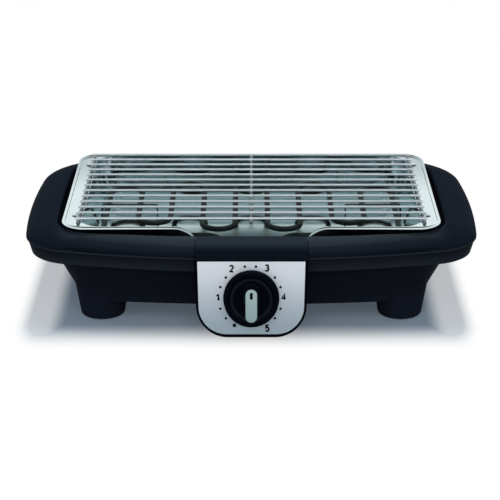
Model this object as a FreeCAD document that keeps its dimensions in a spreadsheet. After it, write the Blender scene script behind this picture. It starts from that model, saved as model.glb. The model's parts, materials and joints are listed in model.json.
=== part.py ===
import FreeCAD, Part
import Sketcher
import math
import os
import re

# Driving dimensions, in millimetres and degrees: +Z up, the front towards -Y, the base about its own middle
SIZES = {
    # Whole grill: how far the base's middle lies behind the whole's, and the gap under loose pieces
    "base_centre_y": 24.5,
    "seat_gap": 0.3,
    # Moulded base, rim frame
    "skin": 3.0,
    "rim_half_width": 270.0,
    "rim_half_depth": 178.0,
    "rim_side_bow": 1100.0,
    "rim_front_bow": 930.0,
    "rim_corner": 62.0,
    "rim_edge_height": 2.0,
    "rim_side_width": 40.0,
    "rim_front_width": 32.0,
    "lip_side_bow": 2400.0,
    "lip_front_bow": 1400.0,
    "lip_corner": 46.0,
    "lip_rise": 15.5,
    "lip_land": 4.0,
    "lip_round": 3.0,
    # Moulded base, tub
    "band_inset": 1.5,
    "band_taper": 4.5,
    "band_height": 17.0,
    "tub_side_inset": 34.5,
    "tub_front_inset": 16.0,
    "tub_side_taper": 24.0,
    "tub_front_taper": 21.0,
    "tub_depth": 52.5,
    "tub_corner": 62.0,
    "tub_side_bow": 1600.0,
    "tub_front_bow": 1400.0,
    "tub_floor_z": 26.5,
    # Feet, pads and the posts that carry the tray
    "foot_side_inset": 34.5,
    "foot_front_inset": 39.5,
    "foot_radius": 25.8,
    "foot_draft": 9.0,
    "foot_rise": 23.5,
    "foot_round": 3.0,
    "foot_lift": 1.0,
    "foot_floor": 5.0,
    "pad_radius": 17.0,
    "pad_height": 3.0,
    "pad_round": 0.8,
    "pad_gap": 0.2,
    "post_side_inset": 78.0,
    "post_front_inset": 46.0,
    "post_radius": 8.0,
    "post_draft": 1.5,
    # Screws that hold the rim frame on the tub
    "rim_screw_inset": 23.0,
    "rim_screw_spacing": 80.0,
    "rim_boss_radius": 5.0,
    "screw_radius": 1.9,
    "screw_gap": 0.1,
    "screw_head_radius": 3.6,
    "screw_head_height": 2.4,
    "screw_length": 14.0,
    # Front recess of the base, where the control box hooks in
    "recess_depth": 28.0,
    "recess_sill": 24.5,
    "recess_drop": 0.5,
    "box_gap": 0.6,
    # Reflector tray
    "sheet": 1.0,
    "tray_side_gap": 11.0,
    "tray_front_gap": 9.0,
    "tray_corner": 26.0,
    "bead_radius": 2.2,
    "bead_drop": 0.2,
    "flange_rise": 6.5,
    "flange_side_width": 21.0,
    "flange_front_width": 6.0,
    "basin_corner": 22.0,
    "basin_side_draft": 9.0,
    "basin_front_draft": 5.0,
    "basin_depth": 48.0,
    "dip_flank": 43.5,
    "dip_margin": 10.0,
    "dip_depth": 23.0,
    # Wire grid
    "wire_radius": 1.5,
    "wire_overhang": 3.5,
    "wire_margin": 17.0,
    "wire_end_round": 1.2,
    "bar_radius": 2.0,
    "bar_inset": 17.5,
    "bar_overhang": 6.5,
    "peg_radius": 1.5,
    "peg_inset": 10.6,
    "peg_margin": 42.0,
    "peg_bend": 3.5,
    "peg_length": 7.0,
    "slot_gap": 0.4,
    "slot_half_length": 4.5,
    # Heating element
    "tube_radius": 3.3,
    "run_side_gap": 12.6,
    "back_turn_gap": 35.0,
    "front_turn_gap": 51.0,
    "outer_back_step": 15.5,
    "outer_front_step": 21.0,
    "element_rise": 23.0,
    "front_run_gap": 12.0,
    "front_bend": 18.0,
    "end_x": 36.0,
    "end_clearance": 7.5,
    "end_rise_run": 54.0,
    "end_rise_angle": 25.0,
    "end_rise_bend": 30.0,
    "end_slope": 20.0,
    "end_fall_bend": 30.0,
    "end_length": 19.0,
    "strap_sheet": 1.5,
    "strap_width": 7.0,
    "strap_y": 22.0,
    "strap_inner_margin": 21.0,
    "strap_outer_margin": 10.0,
    "strap_bend": 2.5,
    # Control box
    "box_half_width": 64.5,
    "box_foot_half_width": 62.0,
    "box_corner": 36.0,
    "box_wall": 2.5,
    "box_front_height": 85.2,
    "box_top_fall": 13.5,
    "box_top_depth": 39.7,
    "box_crown": 3.5,
    "box_crown_bend": 60.0,
    "box_back_plate": 2.4,
    "box_fit": 0.15,
    "box_edge": 1.0,
    "roof_skin": 2.6,
    "flush_head": 1.4,
    "box_screw_length": 13.0,
    "hook_lip": 2.2,
    "hook_depth": 7.5,
    "box_boss_radius": 4.0,
    "box_boss_top_inset": 13.5,
    "box_boss_top_drop": 16.0,
    "box_boss_foot_inset": 20.0,
    "box_boss_foot_rise": 15.0,
    # Fascia and dial
    "fascia_tilt": 14.0,
    "fascia_plate": 1.0,
    "fascia_side_border": 3.3,
    "fascia_low_border": 3.0,
    "fascia_corner_border": 4.0,
    "fascia_top_corner": 0.8,
    "fascia_top_border": 0.8,
    "fascia_foot_border": 4.0,
    "dial_drop": 42.2,
    # Knob
    "knob_radius": 31.8,
    "knob_taper": 0.8,
    "knob_skirt": 3.0,
    "knob_height": 17.5,
    "knob_gap": 0.8,
    "knob_rim": 4.2,
    "knob_dish_slope": 3.2,
    "knob_dish_z": 12.5,
    "knob_wall": 2.4,
    "knob_hub_radius": 7.5,
    "knob_hub_z": 2.0,
    "knob_draft": 1.2,
    "knob_edge": 0.8,
    "grip_half_width": 9.6,
    "grip_top": 18.9,
    "grip_inset": 0.6,
    "grip_rise": 3.0,
    "grip_round": 1.6,
    "insert_side_border": 3.1,
    "insert_top_border": 6.4,
    "insert_foot_border": 5.25,
    "insert_sheet": 1.4,
    "insert_proud": 0.3,
    "insert_fit": 0.1,
    "insert_round": 0.5,
    # Thermostat and its shaft
    "shaft_radius": 3.0,
    "shaft_flat": 2.0,
    "shaft_fit": 0.05,
    "shaft_top": 13.0,
    "shaft_foot": 16.0,
    "bracket_sheet": 1.2,
    "bracket_side_margin": 4.0,
    "bracket_end_margin": 6.0,
    "bracket_corner": 4.0,
    "thermostat_half_width": 17.0,
    "thermostat_half_height": 21.0,
    "thermostat_depth": 18.0,
    "thermostat_corner": 2.5,
    "bush_radius": 4.7,
    "bush_top": 0.4,
    "thermostat_screw_y": 14.0,
    "thermostat_screw_length": 12.0,
    "tab_half_width": 3.1,
    "tab_sheet": 0.8,
    "tab_length": 7.0,
    "tab_x": 9.0,
    "tab_y": 8.0,
    # Element ends inside the box, terminals and gland
    "clamp_margin": 10.0,
    "clamp_sheet": 1.5,
    "clamp_half_height": 4.9,
    "clamp_screw_x": 14.0,
    "clamp_screw_length": 7.5,
    "seal_radius": 4.0,
    "seal_length": 5.0,
    "pin_radius": 1.5,
    "pin_length": 14.0,
    "block_half_width": 17.0,
    "block_depth": 13.0,
    "block_rise": 7.0,
    "block_height": 14.0,
    "block_pitch": 10.0,
    "block_well_radius": 2.6,
    "block_well_depth": 8.0,
    "gland_x": 18.0,
    "gland_depth": 28.0,
    "gland_radius": 7.5,
    "gland_flange_radius": 10.0,
    "gland_flange": 2.5,
    "gland_bore": 3.8,
    "lead_radius": 1.4,
    "lead_stub": 6.5,
    "lead_bend": 4.0,
}

WIRE_COUNT = 13
RUN_COUNT = 10
RIM_SCREWS_PER_SIDE = 3
CROWN_STEPS = 4
BLOCK_POLES = 3
BOSS_CROWN_SHARE = 0.5
CLEAR = 200.0
TOUCH = 0.01
SIDES = (("left", -1), ("right", 1))
ENDS = (("front", -1), ("back", 1))

# Sizes and places that follow from the driving dimensions, so that each piece keeps its fit on the next
RELATED = {
    "lip_half_width": "rim_half_width - rim_side_width",
    "lip_half_depth": "rim_half_depth - rim_front_width",
    "tub_top_half_width": "rim_half_width - tub_side_inset",
    "tub_top_half_depth": "rim_half_depth - tub_front_inset",
    "tub_floor_half_width": "tub_top_half_width - tub_side_taper",
    "tub_floor_half_depth": "tub_top_half_depth - tub_front_taper",
    "band_bottom_z": "tub_floor_z + tub_depth",
    "rim_edge_z": "band_bottom_z + band_height + rim_edge_height",
    "lip_z": "rim_edge_z + lip_rise",
    "foot_x": "tub_floor_half_width - foot_side_inset",
    "foot_y": "tub_floor_half_depth - foot_front_inset",
    "foot_top_z": "tub_floor_z + foot_rise",
    "rim_screw_x": "rim_half_width - rim_screw_inset",
    "recess_reach": "rim_half_depth - recess_depth",
    "recess_bottom_z": "tub_floor_z + recess_sill",
    "recess_top_z": "rim_edge_z - recess_drop",
    "tray_half_width": "lip_half_width - tray_side_gap",
    "tray_half_depth": "lip_half_depth - tray_front_gap",
    "flange_z": "lip_z + flange_rise",
    "basin_half_width": "tray_half_width - flange_side_width",
    "basin_half_depth": "tray_half_depth - flange_front_width",
    "basin_floor_z": "flange_z - basin_depth",
    "post_x": "basin_half_width - post_side_inset",
    "post_y": "basin_half_depth - post_front_inset",
    "dip_inner_x": "end_x + dip_margin",
    "dip_outer_x": "dip_inner_x + dip_flank",
    "bar_x": "tray_half_width - bar_inset",
    "wire_half_length": "bar_x + wire_overhang",
    "wire_pitch": f"(tray_half_depth - wire_margin) / {(WIRE_COUNT - 1) / 2}",
    "bar_half_length": "tray_half_depth - wire_margin + bar_overhang",
    "peg_x": "tray_half_width - peg_inset",
    "peg_y": "tray_half_depth - peg_margin",
    "outer_run_x": "basin_half_width - basin_side_draft - run_side_gap",
    "run_pitch": f"outer_run_x / {(RUN_COUNT - 1) / 2}",
    "back_turn_y": "basin_half_depth - basin_front_draft - back_turn_gap",
    "front_turn_y": "basin_half_depth - basin_front_draft - front_turn_gap",
    "front_run_y": "basin_half_depth - front_run_gap",
    "element_z": "basin_floor_z + sheet + element_rise",
    "end_z": "flange_z - dip_depth + end_clearance",
    "end_rise_x": "end_x + end_rise_run",
    "strap_inner_x": "outer_run_x - run_pitch - strap_inner_margin",
    "strap_outer_x": "outer_run_x + strap_outer_margin",
    "box_top_z": "lip_z",
    "box_front_z": "box_top_z - box_top_fall",
    "box_bottom_z": "box_front_z - box_front_height",
    "box_top_reach": "recess_reach + box_top_depth",
    "box_boss_top_x": "box_half_width - box_boss_top_inset",
    "box_boss_top_z": "box_front_z - box_boss_top_drop",
    "box_boss_foot_x": "box_foot_half_width - box_boss_foot_inset",
    "box_boss_foot_z": "box_bottom_z + box_boss_foot_rise",
    "fascia_half_width": "box_half_width - fascia_side_border",
    "fascia_foot_half_width": "box_foot_half_width - fascia_low_border",
    "fascia_corner": "box_corner - fascia_corner_border",
    "fascia_top": "dial_drop - fascia_top_border",
    "fascia_foot": "box_front_height / cos(fascia_tilt) - dial_drop - fascia_foot_border",
    "knob_top_radius": "knob_radius - knob_taper",
    "knob_dish_radius": "knob_top_radius - knob_rim - knob_dish_slope",
    "grip_foot": "knob_top_radius - grip_inset",
    "grip_height": "knob_height + grip_rise",
    "insert_half_width": "grip_half_width - insert_side_border",
    "insert_top": "grip_top - insert_top_border",
    "insert_foot": "grip_foot - insert_foot_border",
    "shaft_round_top": "knob_hub_z - seat_gap",
    "bracket_half_width": "thermostat_half_width + bracket_side_margin",
    "bracket_half_height": "thermostat_half_height + bracket_end_margin",
    "clamp_half_width": "end_x + clamp_margin",
    "block_foot_z": "box_bottom_z + block_rise",
    "block_top_z": "block_foot_z + block_height",
    "gland_reach": "recess_reach + gland_depth",
}

doc = FreeCAD.newDocument("TableGrill")
sheet = doc.addObject("Spreadsheet::Sheet", "Sizes")
for row, (size_name, size_value) in enumerate(SIZES.items(), 1):
    sheet.set(f"A{row}", size_name)
    sheet.set(f"B{row}", str(size_value))
    sheet.setAlias(f"B{row}", size_name)
doc.recompute()

Vector = FreeCAD.Vector
UP = Vector(0, 0, 1)
pieces = []


def bound(text):
    """The expression with each size's name pointed at the sheet, and each related size written out."""

    def point(hit):
        name = hit[0]
        if name in RELATED:
            return f"({bound(RELATED[name])})"
        return f"Sizes.{name}" if name in SIZES else name

    return re.sub(r"[a-z_]+", point, text)


def value(text):
    """The expression's present value."""
    return float(sheet.evalExpression(bound(text)))


def bind(item, **expressions):
    """Tie properties of an object to expressions in the sizes."""
    for name, text in expressions.items():
        item.setExpression(name.replace("__", "."), bound(text))
    return item


def place(item, x="0", y="0", z="0"):
    """Tie an object's position to expressions in the sizes."""
    return bind(item, Placement__Base__x=x, Placement__Base__y=y, Placement__Base__z=z)


def finish(item, label, y="base_centre_y"):
    """Name a finished piece and set it back to where the whole grill's middle wants it."""
    item.Label = label
    bind(item, Placement__Base__y=y)
    pieces.append(item)
    return item


# Where the fascia's own axes stand: x to the right, y up the fascia, z out of it, from the dial's centre
DIAL_REACH = "(box_top_reach + dial_drop * sin(fascia_tilt))"
DIAL_Z = "(box_front_z - dial_drop * cos(fascia_tilt))"


def on_fascia(item, depth="0", shift="0", up="0"):
    """Stand an object on the fascia's axes, sunk below its surface and moved up along it."""
    item.Placement = FreeCAD.Placement(Vector(), FreeCAD.Rotation(Vector(1, 0, 0), 1))
    bind(item, Placement__Rotation__Angle="90 - fascia_tilt")
    return place(
        item,
        y=f"{shift} - {DIAL_REACH} + ({depth}) * cos(fascia_tilt) + ({up}) * sin(fascia_tilt)",
        z=f"{DIAL_Z} - ({depth}) * sin(fascia_tilt) + ({up}) * cos(fascia_tilt)",
    )


# Sketch outlines, each fully constrained and driven by the sheet


def drive(sketch, kind, *target, text):
    """Add a dimension to a sketch and tie it to an expression."""
    index = sketch.addConstraint(Sketcher.Constraint(kind, *target, value(text)))
    sketch.setExpression(f"Constraints[{index}]", bound(text))


def pin(sketch, item, point, x, y):
    """Fix a point of a sketch at two expressions."""
    for kind, axis, text in (("DistanceX", -2, x), ("DistanceY", -1, y)):
        if text == "0":
            sketch.addConstraint(Sketcher.Constraint("PointOnObject", item, point, axis))
        else:
            drive(sketch, kind, -1, 1, item, point, text=text)


def add_arc(sketch, centre, radius, start, end):
    """Add an arc that runs anticlockwise between two angles."""
    if end < start:
        end += 2 * math.pi
    return sketch.addGeometry(Part.ArcOfCircle(Part.Circle(centre, UP, radius), start, end), False)


def add_circle(sketch, radius, x="0", y="0"):
    """Add a circle at a point."""
    item = sketch.addGeometry(Part.Circle(Vector(value(x), value(y), 0), UP, value(radius)), False)
    drive(sketch, "Radius", item, text=radius)
    pin(sketch, item, 3, x, y)


def add_profile(sketch, corners):
    """Add a closed outline through corners (x, y, radius); a radius of None leaves the corner sharp."""
    points = [Vector(value(x), value(y), 0) for x, y, radius in corners]
    radii = [value(radius) if radius else 0.0 for x, y, radius in corners]
    count = len(points)
    arrive, leave, centres, turns = [], [], [], []
    for i, point in enumerate(points):
        before = (points[i - 1] - point).normalize()
        after = (points[(i + 1) % count] - point).normalize()
        half_angle = before.getAngle(after) / 2
        reach = radii[i] / math.tan(half_angle)
        arrive.append(point + before * reach)
        leave.append(point + after * reach)
        inward = (before + after).normalize()
        centres.append(point + inward * (radii[i] / math.sin(half_angle)))
        turns.append(before.cross(after).z < 0)
    lines = [
        sketch.addGeometry(Part.LineSegment(leave[i], arrive[(i + 1) % count]), False) for i in range(count)
    ]
    for i, (x, y, radius) in enumerate(corners):
        if not radius:
            sketch.addConstraint(Sketcher.Constraint("Coincident", lines[i - 1], 2, lines[i], 1))
            pin(sketch, lines[i], 1, x, y)
            continue
        start, end = (arrive[i], leave[i]) if turns[i] else (leave[i], arrive[i])
        angles = [math.atan2(p.y - centres[i].y, p.x - centres[i].x) for p in (start, end)]
        arc = add_arc(sketch, centres[i], radii[i], *angles)
        first, last = (1, 2) if turns[i] else (2, 1)
        sketch.addConstraint(Sketcher.Constraint("Tangent", lines[i - 1], 2, arc, first))
        sketch.addConstraint(Sketcher.Constraint("Tangent", arc, last, lines[i], 1))
        drive(sketch, "Radius", arc, text=radius)
        corner = sketch.addGeometry(Part.Point(points[i]), True)
        pin(sketch, corner, 1, x, y)
        sketch.addConstraint(Sketcher.Constraint("PointOnObject", corner, 1, lines[i - 1]))
        sketch.addConstraint(Sketcher.Constraint("PointOnObject", corner, 1, lines[i]))


def add_rectangle(sketch, half_width, half_depth, corner=None, x="0", y="0"):
    """Add a rectangle about a point, with equal rounded corners."""
    left, right = f"{x} - ({half_width})", f"{x} + ({half_width})"
    low, high = f"{y} - ({half_depth})", f"{y} + ({half_depth})"
    points = ((left, low), (right, low), (right, high), (left, high))
    add_profile(sketch, [(across, along, corner) for across, along in points])


def add_path(sketch, corners):
    """Add an open path through three points (x, y, radius), with the middle corner rounded."""
    points = [Vector(value(x), value(y), 0) for x, y, radius in corners]
    x, y, radius = corners[1]
    size = value(radius)
    before = (points[0] - points[1]).normalize()
    after = (points[2] - points[1]).normalize()
    half_angle = before.getAngle(after) / 2
    arrive = points[1] + before * (size / math.tan(half_angle))
    leave = points[1] + after * (size / math.tan(half_angle))
    centre = points[1] + (before + after).normalize() * (size / math.sin(half_angle))
    turns_left = before.cross(after).z < 0
    ends = (arrive, leave) if turns_left else (leave, arrive)
    first = sketch.addGeometry(Part.LineSegment(points[0], arrive), False)
    arc = add_arc(sketch, centre, size, *(math.atan2(p.y - centre.y, p.x - centre.x) for p in ends))
    last = sketch.addGeometry(Part.LineSegment(leave, points[2]), False)
    start, end = (1, 2) if turns_left else (2, 1)
    sketch.addConstraint(Sketcher.Constraint("Tangent", first, 2, arc, start))
    sketch.addConstraint(Sketcher.Constraint("Tangent", arc, end, last, 1))
    drive(sketch, "Radius", arc, text=radius)
    pin(sketch, first, 1, *corners[0][:2])
    pin(sketch, last, 2, *corners[2][:2])
    corner = sketch.addGeometry(Part.Point(points[1]), True)
    pin(sketch, corner, 1, x, y)
    sketch.addConstraint(Sketcher.Constraint("PointOnObject", corner, 1, first))
    sketch.addConstraint(Sketcher.Constraint("PointOnObject", corner, 1, last))


def add_stadium(sketch, half_width, foot, top):
    """Add an upright slot shape between two heights, with half-round ends."""
    radius = value(half_width)
    low, high = -value(foot) + radius, value(top) - radius
    upper = add_arc(sketch, Vector(0, high, 0), radius, 0, math.pi)
    lower = add_arc(sketch, Vector(0, low, 0), radius, math.pi, 2 * math.pi)
    left = sketch.addGeometry(Part.LineSegment(Vector(-radius, high, 0), Vector(-radius, low, 0)), False)
    right = sketch.addGeometry(Part.LineSegment(Vector(radius, low, 0), Vector(radius, high, 0)), False)
    ring = (upper, left, lower, right)
    for i, item in enumerate(ring):
        sketch.addConstraint(Sketcher.Constraint("Tangent", item, 2, ring[(i + 1) % 4], 1))
    drive(sketch, "Radius", upper, text=half_width)
    sketch.addConstraint(Sketcher.Constraint("Equal", upper, lower))
    pin(sketch, upper, 3, "0", f"({top}) - ({half_width})")
    pin(sketch, lower, 3, "0", f"({half_width}) - ({foot})")


def add_flatted_round(sketch, radius, flat):
    """Add a round with one flat, as on a control shaft."""
    half_chord = math.sqrt(value(radius) ** 2 - value(flat) ** 2)
    angle = math.atan2(value(flat), half_chord)
    arc = add_arc(sketch, Vector(), value(radius), math.pi - angle, 2 * math.pi + angle)
    chord = sketch.addGeometry(
        Part.LineSegment(Vector(half_chord, value(flat), 0), Vector(-half_chord, value(flat), 0)), False
    )
    sketch.addConstraint(Sketcher.Constraint("Coincident", arc, 2, chord, 1))
    sketch.addConstraint(Sketcher.Constraint("Coincident", chord, 2, arc, 1))
    sketch.addConstraint(Sketcher.Constraint("Coincident", arc, 3, -1, 1))
    sketch.addConstraint(Sketcher.Constraint("Horizontal", chord))
    drive(sketch, "Radius", arc, text=radius)
    drive(sketch, "DistanceY", -1, 1, chord, 1, text=flat)


def bowed_outline(name, z, half_width, half_depth, side_bow, front_bow, corner):
    """A level outline of four slightly bowed sides and four round corners, all tangent."""
    wide, deep, side, front, round_off = (
        value(text) for text in (half_width, half_depth, side_bow, front_bow, corner)
    )
    side_x, front_y = wide - side, deep - front
    apart = math.hypot(side_x, front_y)
    side_reach, front_reach = side - round_off, front - round_off
    along = (side_reach**2 - front_reach**2 + apart**2) / (2 * apart)
    across = math.sqrt(side_reach**2 - along**2)
    corner_x = side_x - (along * side_x + across * front_y) / apart
    corner_y = (along * front_y - across * side_x) / apart
    low = math.atan2(corner_y, corner_x - side_x)
    high = math.atan2(corner_y - front_y, corner_x)
    turn = math.pi
    sketch = doc.addObject("Sketcher::SketchObject", name)
    sides = {
        "right": add_arc(sketch, Vector(side_x, 0, 0), side, -low, low),
        "back_right": add_arc(sketch, Vector(corner_x, corner_y, 0), round_off, low, high),
        "back": add_arc(sketch, Vector(0, front_y, 0), front, high, turn - high),
        "back_left": add_arc(sketch, Vector(-corner_x, corner_y, 0), round_off, turn - high, turn - low),
        "left": add_arc(sketch, Vector(-side_x, 0, 0), side, turn - low, turn + low),
        "front_left": add_arc(sketch, Vector(-corner_x, -corner_y, 0), round_off, turn + low, turn + high),
        "front": add_arc(sketch, Vector(0, -front_y, 0), front, turn + high, 2 * turn - high),
        "front_right": add_arc(sketch, Vector(corner_x, -corner_y, 0), round_off, -high, -low),
    }
    ring = list(sides.values())
    for i, item in enumerate(ring):
        sketch.addConstraint(Sketcher.Constraint("Tangent", item, 2, ring[(i + 1) % 8], 1))
    bows = {"right": side_bow, "left": side_bow, "front": front_bow, "back": front_bow}
    for side_name, item in sides.items():
        drive(sketch, "Radius", item, text=bows.get(side_name, corner))
    pin(sketch, sides["right"], 3, f"({half_width}) - ({side_bow})", "0")
    pin(sketch, sides["left"], 3, f"({side_bow}) - ({half_width})", "0")
    pin(sketch, sides["back"], 3, "0", f"({half_depth}) - ({front_bow})")
    pin(sketch, sides["front"], 3, "0", f"({front_bow}) - ({half_depth})")
    return place(sketch, z=z)


# Solids and features


def loft(name, sections, ruled=True):
    """A solid through outlines, straight between them or smooth."""
    item = doc.addObject("Part::Loft", name)
    item.Sections = sections
    item.Solid = True
    item.Ruled = ruled
    return item


def extrude(name, sketch, forward, backward="0"):
    """A solid drawn out from a sketch along its normal."""
    item = doc.addObject("Part::Extrusion", name)
    item.Base = sketch
    item.DirMode = "Normal"
    item.Solid = True
    return bind(item, LengthFwd=forward, LengthRev=backward)


def box(name, x, y, z):
    """A box between two expressions on each axis."""
    item = bind(
        doc.addObject("Part::Box", name),
        Length=f"({x[1]}) - ({x[0]})",
        Width=f"({y[1]}) - ({y[0]})",
        Height=f"({z[1]}) - ({z[0]})",
    )
    return place(item, x[0], y[0], z[0])


def cylinder(name, radius, height, x="0", y="0", z="0"):
    """An upright cylinder from a point."""
    return place(bind(doc.addObject("Part::Cylinder", name), Radius=radius, Height=height), x, y, z)


def cylinder_back(name, radius, height, x, y, z):
    """A cylinder that lies towards the back from a point."""
    item = cylinder(name, radius, height)
    item.Placement.Rotation = FreeCAD.Rotation(Vector(1, 0, 0), -90)
    return place(item, x, y, z)


def cone(name, radius, draft, height, x, y, z):
    """An upright cone that widens upwards by a draft angle."""
    item = bind(
        doc.addObject("Part::Cone", name),
        Radius1=radius,
        Radius2=f"({radius}) + ({height}) * tan({draft})",
        Height=height,
    )
    return place(item, x, y, z)


def cut(name, base, *tools):
    """One solid less others."""
    item = doc.addObject("Part::Cut", name)
    item.Base = base
    item.Tool = tools[0] if len(tools) == 1 else fuse(f"{name}_tools", *tools)
    return item


def fuse(name, *shapes):
    """Solids joined into one."""
    item = doc.addObject("Part::MultiFuse", name)
    item.Shapes = list(shapes)
    return item


def common(name, base, tool):
    """What two solids share."""
    item = doc.addObject("Part::Common", name)
    item.Base = base
    item.Tool = tool
    return item


def group(name, solids):
    """Separate solids kept together as one piece."""
    item = doc.addObject("Part::Compound", name)
    item.Links = solids
    return item


def round_edges(name, base, radius, chosen):
    """Round the edges of a solid that a test picks."""
    doc.recompute()
    item = doc.addObject("Part::Fillet", name)
    item.Base = base
    size = value(radius)
    item.Edges = [(i, size, size) for i, edge in enumerate(base.Shape.Edges, 1) if chosen(edge)]
    return item


def at_height(text):
    """A test that picks the edges that lie level at a height."""
    z = value(text)

    def test(edge):
        span = edge.BoundBox
        return max(abs(span.ZMin - z), abs(span.ZMax - z)) < TOUCH

    return test


def new_body(name):
    """An empty body for sketched features."""
    return doc.addObject("PartDesign::Body", name)


def body_sketch(body, name, role="XY_Plane", offset="0"):
    """A sketch on one of the body's own planes, set off along its normal."""
    sketch = body.newObject("Sketcher::SketchObject", name)
    plane = next(feature for feature in body.Origin.OriginFeatures if feature.Role == role)
    sketch.AttachmentSupport = [(plane, "")]
    sketch.MapMode = "FlatFace"
    return bind(sketch, AttachmentOffset__Base__z=offset)


def pad(body, sketch, length, midplane=False):
    """Draw a sketch out along its normal."""
    item = body.newObject("PartDesign::Pad", f"{sketch.Name}_pad")
    item.Profile = sketch
    item.Midplane = midplane
    return bind(item, Length=length)


def pocket(body, sketch, length, reverse=False):
    """Cut a sketch into the body, against its normal unless reversed, and make sure that it bites."""
    doc.recompute()
    before = body.Shape.Volume
    item = body.newObject("PartDesign::Pocket", f"{sketch.Name}_pocket")
    item.Profile = sketch
    item.Reversed = reverse
    bind(item, Length=length)
    doc.recompute()
    if body.Shape.Volume >= before:
        raise ValueError(f"{item.Name} cuts nothing")
    return item


def body_round(body, radius, chosen):
    """Round the body's edges that a test picks."""
    doc.recompute()
    tip = body.Tip
    item = body.newObject("PartDesign::Fillet", f"{tip.Name}_round")
    names = [f"Edge{i}" for i, edge in enumerate(tip.Shape.Edges, 1) if chosen(edge)]
    item.Base = (tip, names)
    return bind(item, Radius=radius)


def revolve(body, sketch):
    """Turn a sketch about its upright axis."""
    item = body.newObject("PartDesign::Revolution", f"{sketch.Name}_turn")
    item.Profile = sketch
    item.ReferenceAxis = (sketch, ["V_Axis"])
    item.Angle = 360
    return item


def standing_sketch(name, axis, angle, x="0", y="0", z="0"):
    """A free sketch turned about an axis, set at a point."""
    sketch = doc.addObject("Sketcher::SketchObject", name)
    sketch.Placement = FreeCAD.Placement(Vector(), FreeCAD.Rotation(axis, angle))
    return place(sketch, x, y, z)


def side_sketch(name):
    """A sketch seen from the side: x runs to the back, y up."""
    return standing_sketch(name, Vector(1, 1, 1), 120)


def front_sketch(name, reach="0"):
    """A sketch seen from the front: x to the right, y up, set forward by a reach."""
    return standing_sketch(name, Vector(1, 0, 0), 90, y=f"-({reach})")


# The moulded base: a tub with a hollow overhanging band, and a rim frame that closes the band from above

SCREW_HOLE = "(screw_radius + screw_gap)"
HEAD_SINK = "(screw_head_radius + screw_gap)"
NOTCH = "(box_half_width + box_gap)"
BAND_TOP_Z = "(rim_edge_z - rim_edge_height)"


def tub_outline(name, z, inset="0"):
    """The tub's drafted wall at a height, set in by a wall."""
    share = f"(({z}) - tub_floor_z) / (band_bottom_z - tub_floor_z)"
    return bowed_outline(
        name,
        z,
        f"tub_floor_half_width + (tub_top_half_width - tub_floor_half_width) * {share} - {inset}",
        f"tub_floor_half_depth + (tub_top_half_depth - tub_floor_half_depth) * {share} - {inset}",
        f"tub_side_bow - {inset}",
        f"tub_front_bow - {inset}",
        f"tub_corner - {inset}",
    )


def band_outline(name, z, inset="0"):
    """The band under the rim at a height, drawn in towards its foot."""
    share = f"({BAND_TOP_Z} - ({z})) / ({BAND_TOP_Z} - band_bottom_z)"
    total = f"(band_inset + band_taper * {share} + {inset})"
    return bowed_outline(
        name,
        z,
        f"rim_half_width - {total}",
        f"rim_half_depth - {total}",
        f"rim_side_bow - {total}",
        f"rim_front_bow - {total}",
        f"rim_corner - {total}",
    )


def recess_block(name, wall, reach, top):
    """The space of the front recess, widened by a wall."""
    return box(
        name,
        (f"-{NOTCH} - {wall}", f"{NOTCH} + {wall}"),
        (f"-rim_half_depth - {CLEAR}", f"-({reach})"),
        (f"-{CLEAR}", top),
    )


def rim_screw_places():
    """Where the rim's screws stand, along both sides."""
    for side, sign in SIDES:
        for i in range(RIM_SCREWS_PER_SIDE):
            step = i - (RIM_SCREWS_PER_SIDE - 1) / 2
            yield f"{side}_{i + 1}", f"{sign} * rim_screw_x", f"{step} * rim_screw_spacing"


def foot_places():
    """Where the four feet stand."""
    for end, back in ENDS:
        for side, sign in SIDES:
            yield f"{end}_{side}", f"{sign} * foot_x", f"{back} * foot_y"


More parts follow.
